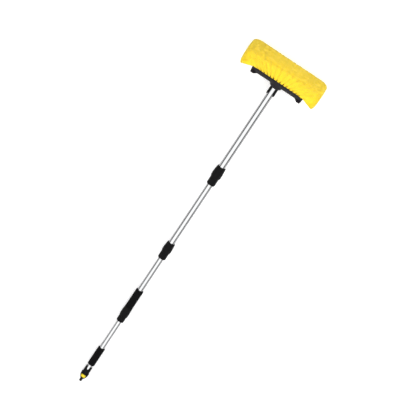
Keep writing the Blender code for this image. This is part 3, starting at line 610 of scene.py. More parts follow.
# In, out, squareness and rise of the rings of its hollow foot
HUMP_HOLLOW = ((0.0001, 0.0034, 5.0, 0), (0.0002, 0.0019, 4.8, 0.0003),
               (0.0003, 0.0008, 4.6, 0.0011), (0.0004, 0.0001, 4.4, 0.0024))
HUMP_CREST = (0.01875, 0.01825)
HUMP_SOFTENING = 1.9  # of its squareness, from foot to crest
HUMP_LEVELS = 12
ROUND = 2  # the squareness of a circle
BOSS_RADIUS = 0.0176
BLOCK_STATIONS = 160
GROOVE = (0.003, 0.003)  # width and depth
RIDGE = (0.0022, 0.004)  # width and height
RIDGE_BEVEL = 0.0006
PANEL_REACH = (0.0272, 0.0772)
PANEL_ACROSS = (0.0215, 0.0225)  # where the grain ends across the head,
PANEL_START = (0.0275, 0.0290)  # beside the hump,
PANEL_END = (0.0765, 0.0775)  # before the end walls
PANEL_RISE = (0.0015, 0.0025)  # and up the hump
BLOCK_GRAIN = 0.0006
block_low, block_high = corners("brush_block")
floor_place = roots + FLOOR_RISE


def bulged(half_x, half_y, squareness):
    """Places round a rectangle whose corners are sharper for a higher squareness."""
    places = []
    for station in range(BLOCK_STATIONS):
        angle = 2 * math.pi * (station + 0.5) / BLOCK_STATIONS
        c, s = math.cos(angle), math.sin(angle)
        size = (abs(c) ** squareness + abs(s) ** squareness) ** (1 / squareness)
        places.append((half_x * c / size, half_y * s / size))
    return places


half_x, half_y = block_high.x, block_high.y
block_levels = [(half_x, half_y, BLOCK_SQUARENESS, block_low.z)]
block_levels += [(half_x - inward, half_y - inward, BLOCK_SQUARENESS, floor_place - under)
                 for inward, under in FLOOR_BEVEL]
block_levels += [(HUMP_FOOT[0] - inward, HUMP_FOOT[1] + outward, squareness, floor_place + rise)
                 for inward, outward, squareness, rise in HUMP_HOLLOW]
foot_squareness, foot_place = block_levels[-1][2:]
for level in range(1, HUMP_LEVELS + 1):
    angle = math.pi / 2 * level / HUMP_LEVELS
    inward = 1 - math.cos(angle)
    block_levels.append((HUMP_FOOT[0] + (HUMP_CREST[0] - HUMP_FOOT[0]) * inward,
                         HUMP_FOOT[1] + (HUMP_CREST[1] - HUMP_FOOT[1]) * inward,
                         foot_squareness - HUMP_SOFTENING * math.sin(angle),
                         foot_place + (block_high.z - foot_place) * math.sin(angle)))
socket_floor = block_high.z - SOCKET_DEPTH
for radius, place in ((BOSS_RADIUS, block_high.z), (SOCKET_BORE + SOCKET_BEVEL, block_high.z),
                      (SOCKET_BORE, block_high.z - SOCKET_BEVEL), (SOCKET_BORE, socket_floor),
                      (WATERWAY, socket_floor), (WATERWAY, block_low.z)):
    block_levels.append((radius, radius, ROUND, place))
block_points = np.array([[(x, y, level[3]) for x, y in bulged(*level[:3])]
                         for level in block_levels]).transpose(1, 0, 2)
moulding, shader, spot = new_finish("block_plastic", Specular_IOR_Level=0.2)
pebbles = spot.node("TexVoronoi", {"feature": "F1"}, {"Vector": spot, "Scale": 620})
across = abs(spot.axis(0))
sideways = abs(spot.axis(1))
panel = ((1 - across.between(*PANEL_ACROSS)) * sideways.between(*PANEL_START)
         * (1 - sideways.between(*PANEL_END))
         * (1 - spot.axis(2).between(*[floor_place + rise for rise in PANEL_RISE])))
soft_grain = spot.noise(1200, 2)
cloud = spot.noise(45, 3)
feed(shader, Base_Color=(cloud.between(0.3, 0.8) * 0.6 + panel * pebbles * 0.5)
     .mix(BLOCK_BLACK, BLOCK_GREY),
     Roughness=0.40 + panel * 0.22 + cloud * 0.10,
     Normal=emboss(panel * pebbles + soft_grain * 0.16, BLOCK_GRAIN, 0.8))
block = make_piece("block_core", block_points, wrapped_faces(BLOCK_STATIONS, len(block_levels)),
                   moulding)


def cut(piece, places, faces):
    """Cut a closed shape out of a piece for good."""
    cutter = make_piece("cutter", places, faces, piece.data.materials[0], False)
    step = piece.modifiers.new("cut", "BOOLEAN")
    step.operation = "DIFFERENCE"
    step.object = cutter
    step.solver = "EXACT"
    bpy.context.view_layer.update()
    shape = bpy.data.meshes.new_from_object(
        piece.evaluated_get(bpy.context.evaluated_depsgraph_get()))
    piece.modifiers.clear()
    piece.data = shape
    bpy.data.objects.remove(cutter)
    shape.shade_smooth()
    shape.set_sharp_from_angle(angle=math.radians(35))


groove = [(GROOVE[0] * side - half_x, floor_place + rise)
          for side, rise in ((1, -GROOVE[1]), (2, -GROOVE[1]), (2, GAP), (1, GAP))]
cut(block, [[(x, y, z) for x, z in groove] for y in PANEL_REACH], bar_faces(2, len(groove)))
for index in range(2):
    near = index * 2 * RIDGE[0] + RIDGE[0] / 2 - half_x
    far = near + RIDGE[0]
    crest = floor_place + RIDGE[1]
    ridge = [(near, floor_place - GAP), (near, crest - RIDGE_BEVEL), (near + RIDGE_BEVEL, crest),
             (far - RIDGE_BEVEL, crest), (far, crest - RIDGE_BEVEL), (far, floor_place - GAP)]
    bar = make_piece("block_ridge_%d" % (index + 1),
                     [[(x, y, z) for x, z in ridge] for y in (-PANEL_REACH[0], -PANEL_REACH[1])],
                     bar_faces(2, len(ridge)), moulding, False)
    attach(bar, "root")
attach(block, "root")
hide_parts("brush_block")

# Pole socket
# A black collar pressed into the hump, with a flange and two straps that lie along the first
# tube. A domed rivet through each strap holds the tube.
COLLAR_BLACK = (0.0022, 0.0021, 0.0023, 1)
COLLAR_GREY = (0.0075, 0.0072, 0.0078, 1)
MOULDED_GRAIN = 0.00012
SLEEVE_WALL = 0.0024
SLEEVE_ROUND = 0.0003
SEAT_THICK = 0.002  # of the inward lip that the first tube stands on
SEAT_DEEP = 0.0025
FLANGE = 0.0027
FLANGE_LIP = 0.002
FLANGE_ROUND = 0.0009
MOUTH_ROUND = 0.0004
STRAP_WIDTH = 0.016
STRAP_THICK = 0.003
STRAP_EDGE = 0.0004
STRAP_STATIONS = (0, 0.5, 0.8, 0.9, 0.96, 1)
STRAP_STEPS = 8
STRAP_NARROWING = (0.42, 0.74)  # by what share of its width, and from where on
STRAP_THINNING = (0.22, 0.9)  # the same for its thickness
RIVET_SHANK = 0.0014
RIVET_DOME = 0.001
RIVET_SIDES = 32
DOME_STEPS = 7
NEAR_AXIS = 0.0002  # radius at which a turned solid ends near its axis
STEEL_DARK = (0.42, 0.42, 0.43, 1)
STEEL_LIGHT = (0.66, 0.66, 0.67, 1)
TURNED_SIDES = 96


def turned(name, outline, finish, sides=TURNED_SIDES, relief=None, matrix=POLE):
    """Turn a closed outline of (radius, place) about the pole. Relief moves its points outwards
    by what it gives for each place and angle."""
    rings = []
    for station in range(sides):
        angle = 2 * math.pi * station / sides
        ring = []
        for radius, place in outline:
            grown = radius + (relief(radius, place, angle) if relief else 0)
            ring.append((grown * math.cos(angle), grown * math.sin(angle), place))
        rings.append(ring)
    piece = make_piece(name, rings, wrapped_faces(sides, len(outline)), finish, True, matrix)
    piece.data.set_sharp_from_angle(angle=math.radians(50))
    return piece


def black_moulding(name, dark, grey, gloss):
    """Moulded black plastic with a fine spark grain and faint handling marks."""
    finish, shader, spot = new_finish(name, Specular_IOR_Level=0.09)
    spark = spot.noise(1500, 2)
    marks = spot.noise(60, 5, 0.65).between(0.5, 0.85)
    feed(shader, Base_Color=(spark * 0.45 + marks * 0.5).mix(dark, grey),
         Roughness=spark * 0.14 + marks * 0.16 + gloss, Normal=emboss(spark, MOULDED_GRAIN, 0.7))
    return finish


collar_finish = black_moulding("collar_plastic", COLLAR_BLACK, COLLAR_GREY, 0.34)
collar_low, collar_high = corners("socket_collar")
tube_1_radius = corners("tube_1")[1].x
sleeve_bore = tube_1_radius + GAP
sleeve = sleeve_bore + SLEEVE_WALL
flange_place = block_high.z + GAP
flange_end = flange_place + FLANGE
seat_end = collar_low.z + SEAT_THICK
collar = turned("collar_sleeve", filleted([
    (sleeve, collar_low.z, SLEEVE_ROUND), (sleeve, flange_place, 0),
    (sleeve + FLANGE_LIP, flange_place, SLEEVE_ROUND), (sleeve + FLANGE_LIP, flange_end, FLANGE_ROUND),
    (sleeve_bore, flange_end, MOUTH_ROUND), (sleeve_bore, seat_end, 0),
    (sleeve_bore - SEAT_DEEP, seat_end, 0), (sleeve_bore - SEAT_DEEP, collar_low.z, 0)]),
    collar_finish)
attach(collar, "root")
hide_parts("socket_collar")

strap_reach = STRAP_WIDTH / 2 / sleeve_bore
rivet_finish, shader, spot = new_finish("rivet_steel", Metallic=1.0)
feed(shader, Base_Color=spot.noise(400).mix(STEEL_DARK, STEEL_LIGHT),
     Roughness=spot.noise(700) * 0.2 + 0.22)
for side, word in ((1, "right"), (-1, "left")):
    rings = []
    end_place = collar_high.z
    start_place = flange_place + FLANGE / 2
    for share in STRAP_STATIONS:
        narrow = 1 - STRAP_NARROWING[0] * step_up(share, STRAP_NARROWING[1], 1) ** 2
        thick = STRAP_THICK * (1 - STRAP_THINNING[0] * step_up(share, STRAP_THINNING[1], 1))
        section = []
        for step in range(STRAP_STEPS + 1):
            angle = strap_reach * narrow * (1 - 2 * step / STRAP_STEPS)
            edge = STRAP_EDGE if step in (0, STRAP_STEPS) else 0
            section.append((sleeve_bore + thick - edge, angle))
        for step in range(STRAP_STEPS + 1):
            section.append((sleeve_bore, strap_reach * narrow * (2 * step / STRAP_STEPS - 1)))
        place = start_place + (end_place - start_place) * share
        rings.append([(radius * math.sin(angle) * side, radius * math.cos(angle) * side, place)
                      for radius, angle in section])
    strap = make_piece("collar_strap_" + word, rings, bar_faces(len(rings), len(section)),
                       collar_finish)
    strap.data.set_sharp_from_angle(angle=math.radians(40))
    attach(strap, "root")
    rivet_low, rivet_high = corners("strap_rivet_" + word)
    rivet_place = (rivet_low.z + rivet_high.z) / 2
    head_radius = (rivet_high.z - rivet_low.z) / 2
    outer = max(abs(rivet_low.y), abs(rivet_high.y))
    inner = min(abs(rivet_low.y), abs(rivet_high.y))
    dome = [(NEAR_AXIS, outer)]
    for step in range(1, DOME_STEPS + 1):
        angle = math.pi / 2 * step / DOME_STEPS
        dome.append((head_radius * math.sin(angle),
                     outer - RIVET_DOME + RIVET_DOME * math.cos(angle)))
    under = sleeve_bore + STRAP_THICK + GAP
    dome += [(head_radius, under), (RIVET_SHANK, under), (RIVET_SHANK, inner), (NEAR_AXIS, inner)]
    seat = (POLE @ Matrix.Translation((0, 0, rivet_place))
            @ Matrix.Rotation(-side * math.pi / 2, 4, "X"))
    rivet = turned("rivet_" + word, list(reversed(dome)), rivet_finish, RIVET_SIDES, None,
                   seat)
    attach(rivet, "root")
    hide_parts("strap_rivet_" + word)

# Tubes
# Four thin drawn aluminium tubes, satin and clear anodised, each sliding in the one above it.
# Sliding leaves faint rubbed lines along them.
TUBE_WALL = 0.0005
TUBE_BEVEL = 0.0002
TUBE_RINGS = (0.004, 0.25, 0.5, 0.75, 0.996)  # shares of a tube's length
DRAWN_LINES = 0.00003
ALUMINIUM = (0.47, 0.475, 0.48, 1)
RUBBED = (0.57, 0.575, 0.58, 1)
TUBE_BODIES = ("root", "section_2", "section_3", "section_4")
# The dark specular tint darkens the tubes' reflection towards their outlines: painted shade along both
# edges.
silver, shader, spot = new_finish("drawn_aluminium", Metallic=1.0,
                                  Specular_Tint=(0.12, 0.12, 0.13, 1))
drawn = spot.stretched(1600, 1600, 14).noise(1.0, 3)
rubs = spot.stretched(420, 420, 3).noise(1.0, 4, 0.7).between(0.52, 0.78)
feed(shader, Base_Color=rubs.mix(ALUMINIUM, RUBBED), Roughness=drawn * 0.08 + 0.11 - rubs * 0.03,
     Normal=emboss(drawn, DRAWN_LINES, 0.5))
for number, body in enumerate(TUBE_BODIES, 1):
    tube_low, tube_high = corners("tube_%d" % number)
    radius = tube_high.x
    bore = radius - TUBE_WALL
    outline = [(radius - TUBE_BEVEL, tube_low.z), (radius, tube_low.z + TUBE_BEVEL)]
    outline += [(radius, tube_low.z + (tube_high.z - tube_low.z) * share) for share in TUBE_RINGS]
    outline += [(radius, tube_high.z - TUBE_BEVEL), (radius - TUBE_BEVEL, tube_high.z),
                (bore, tube_high.z), (bore, tube_low.z)]
    tube = turned("pole_tube_%d" % number, outline, silver)
    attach(tube, body)
    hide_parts("tube_%d" % number)

# Twist locks
# A black moulded barrel glued on the end of each tube, and a gland nut screwed into it that
# squeezes a packing and a split collet onto the next tube. Both have twelve grip flutes.
LOCK_SIDES = 120
LOCK_ROUND = 0.0003
FLUTES = 12
FLUTE_PHASE = 0.25
FLUTE_DEPTH = 0.0008
FLUTE_POWER = 0.8
FLUTE_RUN_OUT = 0.003
BARREL_FLUTE_INSET = 0.005
NUT_FLUTE_INSET = 0.002
FLUTE_CLEAR = (0.0004, 0.00005)  # of the pocket, on the barrel and on the nut
FINE_STEP = 0.0025
COVERED = 0.019  # length of the third barrel inside the foam grip
MOUTH_WALL = 0.0018
COVERED_WALL = 0.0019
SHOULDER_RUNNING = 0.00015
NUT_RUNNING = 0.00035
NUT_ROUNDS = (0.0024, 0.0022)
BARREL_ROUNDS = (0.0008, 0.005)  # at the ends and between them
# Points of the outside: how far down, and how far out from mouth to full radius
BARREL_SHARES = ((0.05, 0.5), (0.30, 0.67), (0.62, 1), (0.86, 1), (1, 0.66))
COVERED_SHARES = ((0, 0.73), (0.62, 1), (0.86, 1), (1, 0.66))
lock_finish = black_moulding("lock_plastic", COLLAR_BLACK, COLLAR_GREY, 0.36)


def fluted(start, end, least):
    """Relief of the grip flutes between two places, on what lies outside the least radius."""
    def relief(radius, place, angle):
        if radius < least:
            return 0
        wave = math.cos(FLUTES * (angle - 2 * math.pi * FLUTE_PHASE / FLUTES))
        reach = step_up(place, start, start + FLUTE_RUN_OUT)
        reach *= 1 - step_up(place, end - FLUTE_RUN_OUT, end)
        return -FLUTE_DEPTH * reach * max(wave, 0) ** FLUTE_POWER
    return relief


def finely(outline, longest=FINE_STEP):
    """Add points to an outline's long straights, so that relief has something to move."""
    points = []
    for index, (radius, place) in enumerate(outline):
        after = outline[(index + 1) % len(outline)]
        count = max(1, math.ceil(math.hypot(after[0] - radius, after[1] - place) / longest))
        for step in range(count):
            share = step / count
            points.append((radius + (after[0] - radius) * share, place + (after[1] - place) * share))
    return points


locks = (("a", 1, "root", "nut_a", 0), ("b", 2, "section_2", "nut_b", 0),
         ("c", 3, "section_3", "nut_c", COVERED))
for letter, number, barrel_body, nut_body, covered in locks:
    outer_tube = corners("tube_%d" % number)[1]
    inner_tube = corners("tube_%d" % (number + 1))[1].x
    barrel_low, barrel_high = corners("lock_%s_barrel" % letter)
    packing_low, packing_high = corners("lock_%s_packing" % letter)
    nut_low, nut_high = corners("lock_%s_nut" % letter)
    top, end = barrel_low.z, barrel_high.z
    pocket = packing_high.x + GAP
    pocket_top = packing_low.z - GAP
    shoulder_top = outer_tube.z + GAP
    socket = outer_tube.x + GAP
    mouth = socket + (COVERED_WALL if covered else MOUTH_WALL)
    first = top + covered + (GAP if covered else 0)
    outline = [(mouth, top, LOCK_ROUND)]
    if covered:
        outline.append((mouth, first, 0))
    shares = COVERED_SHARES if covered else BARREL_SHARES
    for down, out in shares:
        at_end = down in (shares[0][0], shares[-1][0])
        outline.append((mouth + (barrel_high.x - mouth) * out, first + (end - first) * down,
                        BARREL_ROUNDS[0] if at_end else BARREL_ROUNDS[1]))
    running = inner_tube + SHOULDER_RUNNING
    outline += [(pocket, end, LOCK_ROUND), (pocket, pocket_top, 0), (running, pocket_top, 0),
                (running, shoulder_top, 0), (socket, shoulder_top, 0), (socket, top, 0)]
    flutes = fluted(first + BARREL_FLUTE_INSET, end - BARREL_FLUTE_INSET, pocket + FLUTE_CLEAR[0])
    barrel = turned("twist_lock_%s_barrel" % letter, finely(filleted(outline)), lock_finish,
                    LOCK_SIDES, flutes)
    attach(barrel, barrel_body)
    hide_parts("lock_%s_barrel" % letter)
    nut_top = end + GAP
    bore = inner_tube + NUT_RUNNING
    outline = [(pocket - GAP, nut_low.z, LOCK_ROUND), (pocket - GAP, nut_top, 0),
               (nut_high.x, nut_top, NUT_ROUNDS[0]), (nut_high.x, nut_high.z, NUT_ROUNDS[1]),
               (bore, nut_high.z, MOUTH_ROUND), (bore, nut_low.z, 0)]
    flutes = fluted(nut_top + NUT_FLUTE_INSET, nut_high.z - NUT_FLUTE_INSET, pocket + FLUTE_CLEAR[1])
    nut = turned("twist_lock_%s_nut" % letter, finely(filleted(outline)), lock_finish,
                 LOCK_SIDES, flutes)
    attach(nut, nut_body)
    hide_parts("lock_%s_nut" % letter)

# Foam grips
# Two sleeves of black closed-cell foam pushed over the tubes. The upper one also covers the top
# of the third lock. Their skin is finely pitted and their ends are rounded.
FOAM_BLACK = (0.0024, 0.0024, 0.0025, 1)
FOAM_GREY = (0.0085, 0.0085, 0.0090, 1)
FOAM_RELIEF = 0.0004
GRIP_SIDES = 90
GRIP_STEP = 0.0012
GRIP_ROUND = 0.003
GRIP_EDGE = 0.0008  # of the upper grip, where it covers the lock
PITTING = 0.00022
PIT_CLEAR = (0.0002, 0.001)  # of the bore, on the upper and on the lower grip
foam, shader, spot = new_finish("grip_foam", Specular_IOR_Level=0.06)
cells = spot.node("TexVoronoi", {"feature": "F1"}, {"Vector": spot, "Scale": 1100})
cloud = spot.noise(90, 3)
feed(shader, Base_Color=(cells * 0.6 + cloud * 0.3).mix(FOAM_BLACK, FOAM_GREY),
     Roughness=cells * 0.15 + 0.78, Normal=emboss(cells, FOAM_RELIEF, 0.9))


def pitted(least):
    """Small random dents in the skin outside the least radius."""
    def relief(radius, place, angle):
        return -PITTING * chance.uniform(0, 1) ** 2 if radius > least else 0
    return relief


lock_c_socket = corners("tube_3")[1].x + GAP + COVERED_WALL + GAP
for word, number, body in (("upper", 3, "section_3"), ("lower", 4, "section_4")):
    grip_low, grip_high = corners("foam_grip_" + word)
    radius = grip_high.x
    bore = corners("tube_%d" % number)[1].x + GAP
    outline = [(bore, grip_low.z, 0), (radius, grip_low.z, GRIP_ROUND)]
    if word == "upper":
        seat = corners("lock_c_barrel")[0].z - GAP
        outline += [(radius, grip_high.z, GRIP_EDGE), (lock_c_socket, grip_high.z, 0),
                    (lock_c_socket, seat, 0), (bore, seat, 0)]
        least = lock_c_socket + PIT_CLEAR[0]
    else:
        outline += [(radius, grip_high.z, GRIP_ROUND), (bore, grip_high.z, 0)]
        least = bore + PIT_CLEAR[1]
    grip = turned("foam_sleeve_" + word, finely(filleted(outline), GRIP_STEP), foam, GRIP_SIDES,
                  pitted(least))
    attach(grip, body)
    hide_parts("foam_grip_" + word)

# Hose valve
# A shut-off at the lower end. A black body with a thumb notch holds a ported seat, and a rotor
# turns on it with the yellow ring, the black cage round that ring and the hose nipple.
NOTCH = (0.0125, 0.0125)  # width and length
NOTCH_STEPS = 24
CUT_OVER = 0.002  # how far a cut starts outside the piece,
CUT_THROUGH = 0.02  # and how far it goes from the axis
VALVE_WALL = 0.0031
VALVE_ROUNDS = (0.0009, 0.0025, 0.0003)  # at the top, along the flare and at the end
VALVE_POCKET = 0.0110
VALVE_POCKET_WALL = 0.0030
VALVE_SOCKET = 0.0195
VALVE_SHARES = ((0.706, 0.05), (0.818, 1), (0.957, 1))
RING_FOOT = 0.0098
RING_SIDES = 180
RING_ROUNDS = (0.0005, 0.003, 0.0003)  # at the edges, where it starts to taper, in the bore
RING_RIBS = 30
RIB_DEPTH = 0.00035
RIB_CLEAR = 0.001
RING_GRAIN = 0.00008
STEM_BORE = 0.0065
CAGE_WINDOW = 0.0180
CAGE_SHARES = ((0, 1), (0.19, 0.99), (0.35, 0.92), (0.51, 0.76), (0.66, 0.59), (0.83, 0.31), (1, 0))
CAGE_ROUNDS = (0.0004, 0.002)  # at its ends and between them
CAGE_ROOT = 0.0056
CAP_LENGTH = 0.0080
NIPPLE_LAND = 0.0045
NIPPLE_BORE = 0.0030
NIPPLE_GROOVE = 0.0010
NIPPLE_ROUNDS = (0.0002, 0.0005, 0.0003)  # at the groove, outside and inside at the end
YELLOW = (0.98, 0.78, 0.012, 1)
YELLOW_DEEP = (0.92, 0.66, 0.008, 1)
valve_finish = black_moulding("valve_plastic", COLLAR_BLACK, COLLAR_GREY, 0.30)
valve_low, valve_high = corners("valve_body")
tube_bore = corners("tube_4")[1].x + GAP
mouth = tube_bore + VALVE_WALL
length = valve_high.z - valve_low.z
outline = [(tube_bore, valve_low.z, VALVE_ROUNDS[2]), (mouth, valve_low.z, VALVE_ROUNDS[0])]
outline += [(mouth + (valve_high.x - mouth) * out, valve_low.z + length * down, VALVE_ROUNDS[1])
            for down, out in VALVE_SHARES]
outline += [(VALVE_POCKET + VALVE_POCKET_WALL, valve_high.z, VALVE_ROUNDS[2]),
            (VALVE_POCKET, valve_high.z, VALVE_ROUNDS[2]),
            (VALVE_POCKET, valve_low.z + VALVE_SOCKET, 0), (tube_bore, valve_low.z + VALVE_SOCKET, 0)]
valve = turned("valve_housing", filleted(outline), valve_finish)
notch = []
for step in range(NOTCH_STEPS + 1):
    angle = math.pi * step / NOTCH_STEPS
    notch.append((NOTCH[0] / 2 * math.cos(angle),
                  valve_low.z + NOTCH[1] - NOTCH[0] / 2 * (1 - math.sin(angle))))
notch += [(side * NOTCH[0] / 2, valve_low.z - CUT_OVER) for side in (-1, 1)]
cut(valve, [[(x, y, z) for y, z in notch] for x in (0, CUT_THROUGH)], bar_faces(2, len(notch)))
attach(valve, "section_4")
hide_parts("valve_body")

ring_low, ring_high = corners("valve_ring")
yellow_finish, shader, spot = new_finish("ring_plastic", Specular_IOR_Level=0.5)
mottle = spot.noise(220, 3)
feed(shader, Base_Color=mottle.mix(YELLOW_DEEP, YELLOW), Roughness=mottle * 0.15 + 0.28,
     Normal=emboss(spot.noise(1300), RING_GRAIN, 0.6))


def ribbed(radius, place, angle):
    """Fine grip ribs round the yellow ring."""
    if radius < STEM_BORE + RIB_CLEAR:
        return 0
    return -RIB_DEPTH * max(math.cos(RING_RIBS * angle), 0)


middle = (ring_low.z + ring_high.z) / 2
outline = [(ring_high.x, ring_low.z, RING_ROUNDS[0]), (ring_high.x, middle, RING_ROUNDS[1]),
           (RING_FOOT, ring_high.z, RING_ROUNDS[0]), (STEM_BORE, ring_high.z, RING_ROUNDS[2]),
           (STEM_BORE, ring_low.z, RING_ROUNDS[2])]
yellow_ring = turned("valve_grip_ring", finely(filleted(outline)), yellow_finish, RING_SIDES, ribbed)
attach(yellow_ring, "hose_end")
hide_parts("valve_ring")

nipple_high = corners("hose_nipple")[1]
seal_low, seal_high = corners("nipple_seal")
nipple_radius = seal_high.x - GAP
groove_radius = nipple_radius - NIPPLE_GROOVE
cap_end = ring_high.z + GAP + CAP_LENGTH
land = cap_end - NIPPLE_LAND + GAP
outline = [(CAGE_ROOT + (nipple_high.y - CAGE_ROOT) * out, ring_low.z + (cap_end - ring_low.z) * down,
            CAGE_ROUNDS[0] if down in (0, 1) else CAGE_ROUNDS[1]) for down, out in CAGE_SHARES]
outline += [(nipple_radius, cap_end, NIPPLE_ROUNDS[0]),
            (nipple_radius, seal_low.z - GAP, NIPPLE_ROUNDS[0]), (groove_radius, seal_low.z - GAP, 0),
            (groove_radius, seal_high.z + GAP, 0),
            (nipple_radius, seal_high.z + GAP, NIPPLE_ROUNDS[0]),
            (nipple_radius, nipple_high.z, NIPPLE_ROUNDS[1]),
            (NIPPLE_BORE, nipple_high.z, NIPPLE_ROUNDS[2]), (NIPPLE_BORE, land, 0),
            (STEM_BORE, land, 0), (STEM_BORE, ring_high.z + GAP, 0),
            (RING_FOOT + GAP, ring_high.z + GAP, 0), (ring_high.x + GAP, middle, 0),
            (ring_high.x + GAP, ring_low.z, NIPPLE_ROUNDS[2])]
nipple = turned("hose_spigot", filleted(outline), valve_finish)
window = [(side * CAGE_WINDOW / 2, place) for side, place in
          ((-1, ring_low.z - CUT_OVER), (1, ring_low.z - CUT_OVER), (1, ring_high.z + GAP),
           (-1, ring_high.z + GAP))]
cut(nipple, [[(x, y, z) for y, z in window] for x in (-CUT_THROUGH, CUT_THROUGH)],
    bar_faces(2, len(window)))
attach(nipple, "hose_end")
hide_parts("hose_nipple")

# Inner pieces
# What the pole holds inside: rubber packings and seals, white acetal bushes, collets and valve
# plates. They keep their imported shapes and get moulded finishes.
SEAL_BLACK = (0.010, 0.010, 0.010, 1)
SEAL_GREY = (0.030, 0.030, 0.031, 1)
SEAL_GRAIN = 0.00008
ACETAL_WHITE = (0.80, 0.80, 0.77, 1)
ACETAL_DULL = (0.66, 0.66, 0.62, 1)
ACETAL_GRAIN = 0.00006
seal_rubber, shader, spot = new_finish("seal_rubber", Specular_IOR_Level=0.4)
bloom = spot.noise(300, 4)
feed(shader, Base_Color=bloom.mix(SEAL_BLACK, SEAL_GREY), Roughness=bloom * 0.25 + 0.55,
     Normal=emboss(spot.noise(1500), SEAL_GRAIN))
acetal, shader, spot = new_finish("natural_acetal", Specular_IOR_Level=0.5)
haze = spot.noise(160, 3)
feed(shader, Base_Color=haze.mix(ACETAL_DULL, ACETAL_WHITE), Roughness=haze * 0.2 + 0.35,
     Normal=emboss(spot.noise(1200), ACETAL_GRAIN))
inner = {seal_rubber: ("socket_seal", "lock_a_packing", "lock_b_packing", "lock_c_packing",
                       "rotor_seal", "nipple_seal"),
         acetal: ("tail_bush_2", "tail_bush_3", "tail_bush_4", "lock_a_collet", "lock_b_collet",
                  "lock_c_collet", "valve_seat", "valve_rotor"),
         valve_finish: ("valve_retainer",)}
for finish, nodes in inner.items():
    for node in nodes:
        frame["nodes"][node].data.materials.clear()
        frame["nodes"][node].data.materials.append(finish)

# Floor
# A plain pale floor under the brush, lit a little from within so that it shows white and still
# keeps the brush's shadow.
FLOOR_SIZE = 30
FLOOR_DROP = 0.0002
FLOOR_PALE = (0.95, 0.95, 0.95, 1)
FLOOR_LIFT = 0.28


def grey(level):
    """A colour without a hue."""
    return (level, level, level, 1)


floor_finish, shader, spot = new_finish("floor_paint", Base_Color=FLOOR_PALE, Roughness=0.9,
                                        Specular_IOR_Level=0.1, Emission_Strength=1.0)
rays = [spot.node("LightPath", output=output) for output in
        ("Is Camera Ray", "Is Glossy Ray", "Is Transmission Ray")]
seen = rays[0].math("MAXIMUM", rays[0], rays[1].math("MAXIMUM", rays[1], rays[2]))
feed(shader, Emission_Color=seen.mix(grey(0), grey(FLOOR_LIFT)))
half = FLOOR_SIZE / 2
floor_low = cad_box[0].z - FLOOR_DROP
floor = make_piece("floor", [(-half, -half, floor_low), (half, -half, floor_low),
                             (half, half, floor_low), (-half, half, floor_low)],
                   [(0, 1, 2, 3)], floor_finish, False, Matrix.Identity(4))

# Room and lamp
# A soft pale room with a dark screen at both sides, which draws the tubes' edges, and a long light
# strip overhead, which draws the bright line along them. One broad lamp gives the soft shadow.
ROOM_STRENGTH = 0.76
WALL_LEVEL = 1.35
SCREEN_EDGE = (0.70, 0.88)  # how far aside the walls turn into the black screens
CEILING_LEVEL = 1.15
CEILING_EDGE = (0.55, 0.80)  # how high the walls turn into the ceiling
LIGHT_STRIP_LEVEL = 2.8
LIGHT_STRIP_EDGES = ((-0.62, -0.50), (-0.22, -0.10))
LAMP_SIZE = 3.0
LAMP_WATTS = 38
LAMP_PLACE = (1.6, -1.0, 3.0)
room = bpy.data.worlds.new("room")
room.use_nodes = True
backdrop = room.node_tree.nodes["Background"]
backdrop.inputs["Strength"].default_value = ROOM_STRENGTH
way = Wire(room.node_tree.nodes.new("ShaderNodeTexCoord").outputs["Generated"])
light_strip, dark_after = [way.axis(0).between(*edge) for edge in LIGHT_STRIP_EDGES]
ceiling = (light_strip - dark_after).mix(grey(CEILING_LEVEL), grey(LIGHT_STRIP_LEVEL))
walls = abs(way.axis(1)).between(*SCREEN_EDGE).mix(grey(WALL_LEVEL), grey(0))
around = way.axis(2).between(*CEILING_EDGE).mix(walls, ceiling)
room.node_tree.links.new(around.socket, backdrop.inputs["Color"])
scene.world = room
lamp = bpy.data.lights.new("soft_lamp", "AREA")
lamp.shape = "DISK"
lamp.size = LAMP_SIZE
lamp.energy = LAMP_WATTS
lamp_stand = bpy.data.objects.new("soft_lamp", lamp)
scene.collection.objects.link(lamp_stand)
lamp_stand.location = LAMP_PLACE
lamp_stand.rotation_euler = (-lamp_stand.location).to_track_quat("-Z", "Y").to_euler()

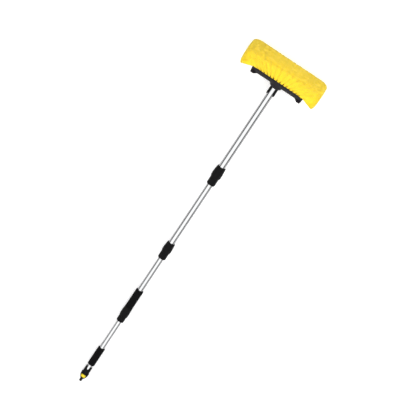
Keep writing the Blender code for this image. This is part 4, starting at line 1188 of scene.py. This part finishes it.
# Camera
# A long lens nearly overhead, tilted twenty degrees along the pole. Its distance and its turn are
# worked out so that the pole's entry and the hose end fall on their places in the photograph.
PHOTO = 420  # pixels across
ENTRY_PIXEL = (275.1, 86.8)
HOSE_PIXEL = (80.2, 380.3)
LENS_PIXELS = 2450
SENSOR = 36
VIEW_TILT = math.radians(20)
view_back = (up_head * math.cos(VIEW_TILT) - down_pole * math.sin(VIEW_TILT)).normalized()
entry = POLE @ Vector((0, 0, block_high.z))
hose_end = POLE @ Vector((0, 0, nipple_high.z))
run = hose_end - entry
back = run.dot(view_back)
flat = (run - view_back * back).length
across_way = (run - view_back * back).normalized()
upward_way = view_back.cross(across_way)
# The distance follows from how far apart the two places are, and the slope from their direction.
entry_at = (ENTRY_PIXEL[0] - PHOTO / 2, PHOTO / 2 - ENTRY_PIXEL[1])
hose_at = (HOSE_PIXEL[0] - PHOTO / 2, PHOTO / 2 - HOSE_PIXEL[1])
step = (hose_at[0] - entry_at[0], hose_at[1] - entry_at[1])
square = step[0] ** 2 + step[1] ** 2
linear = -2 * back * (step[0] * hose_at[0] + step[1] * hose_at[1])
constant = back ** 2 * (hose_at[0] ** 2 + hose_at[1] ** 2) - (LENS_PIXELS * flat) ** 2
distance = (-linear + math.sqrt(linear ** 2 - 4 * square * constant)) / (2 * square)
slope = math.atan2(distance * step[1] - hose_at[1] * back, distance * step[0] - hose_at[0] * back)
right = across_way * math.cos(slope) - upward_way * math.sin(slope)
up = across_way * math.sin(slope) + upward_way * math.cos(slope)
camera_lens = bpy.data.cameras.new("camera")
camera_lens.sensor_width = SENSOR
camera_lens.lens = SENSOR * LENS_PIXELS / PHOTO
camera = bpy.data.objects.new("camera", camera_lens)
scene.collection.objects.link(camera)
camera.matrix_world = Matrix((right, up, view_back)).transposed().to_4x4()
camera.location = (entry - right * entry_at[0] * distance / LENS_PIXELS
                   - up * entry_at[1] * distance / LENS_PIXELS + view_back * distance)
scene.camera = camera
scene.view_settings.view_transform = "Standard"
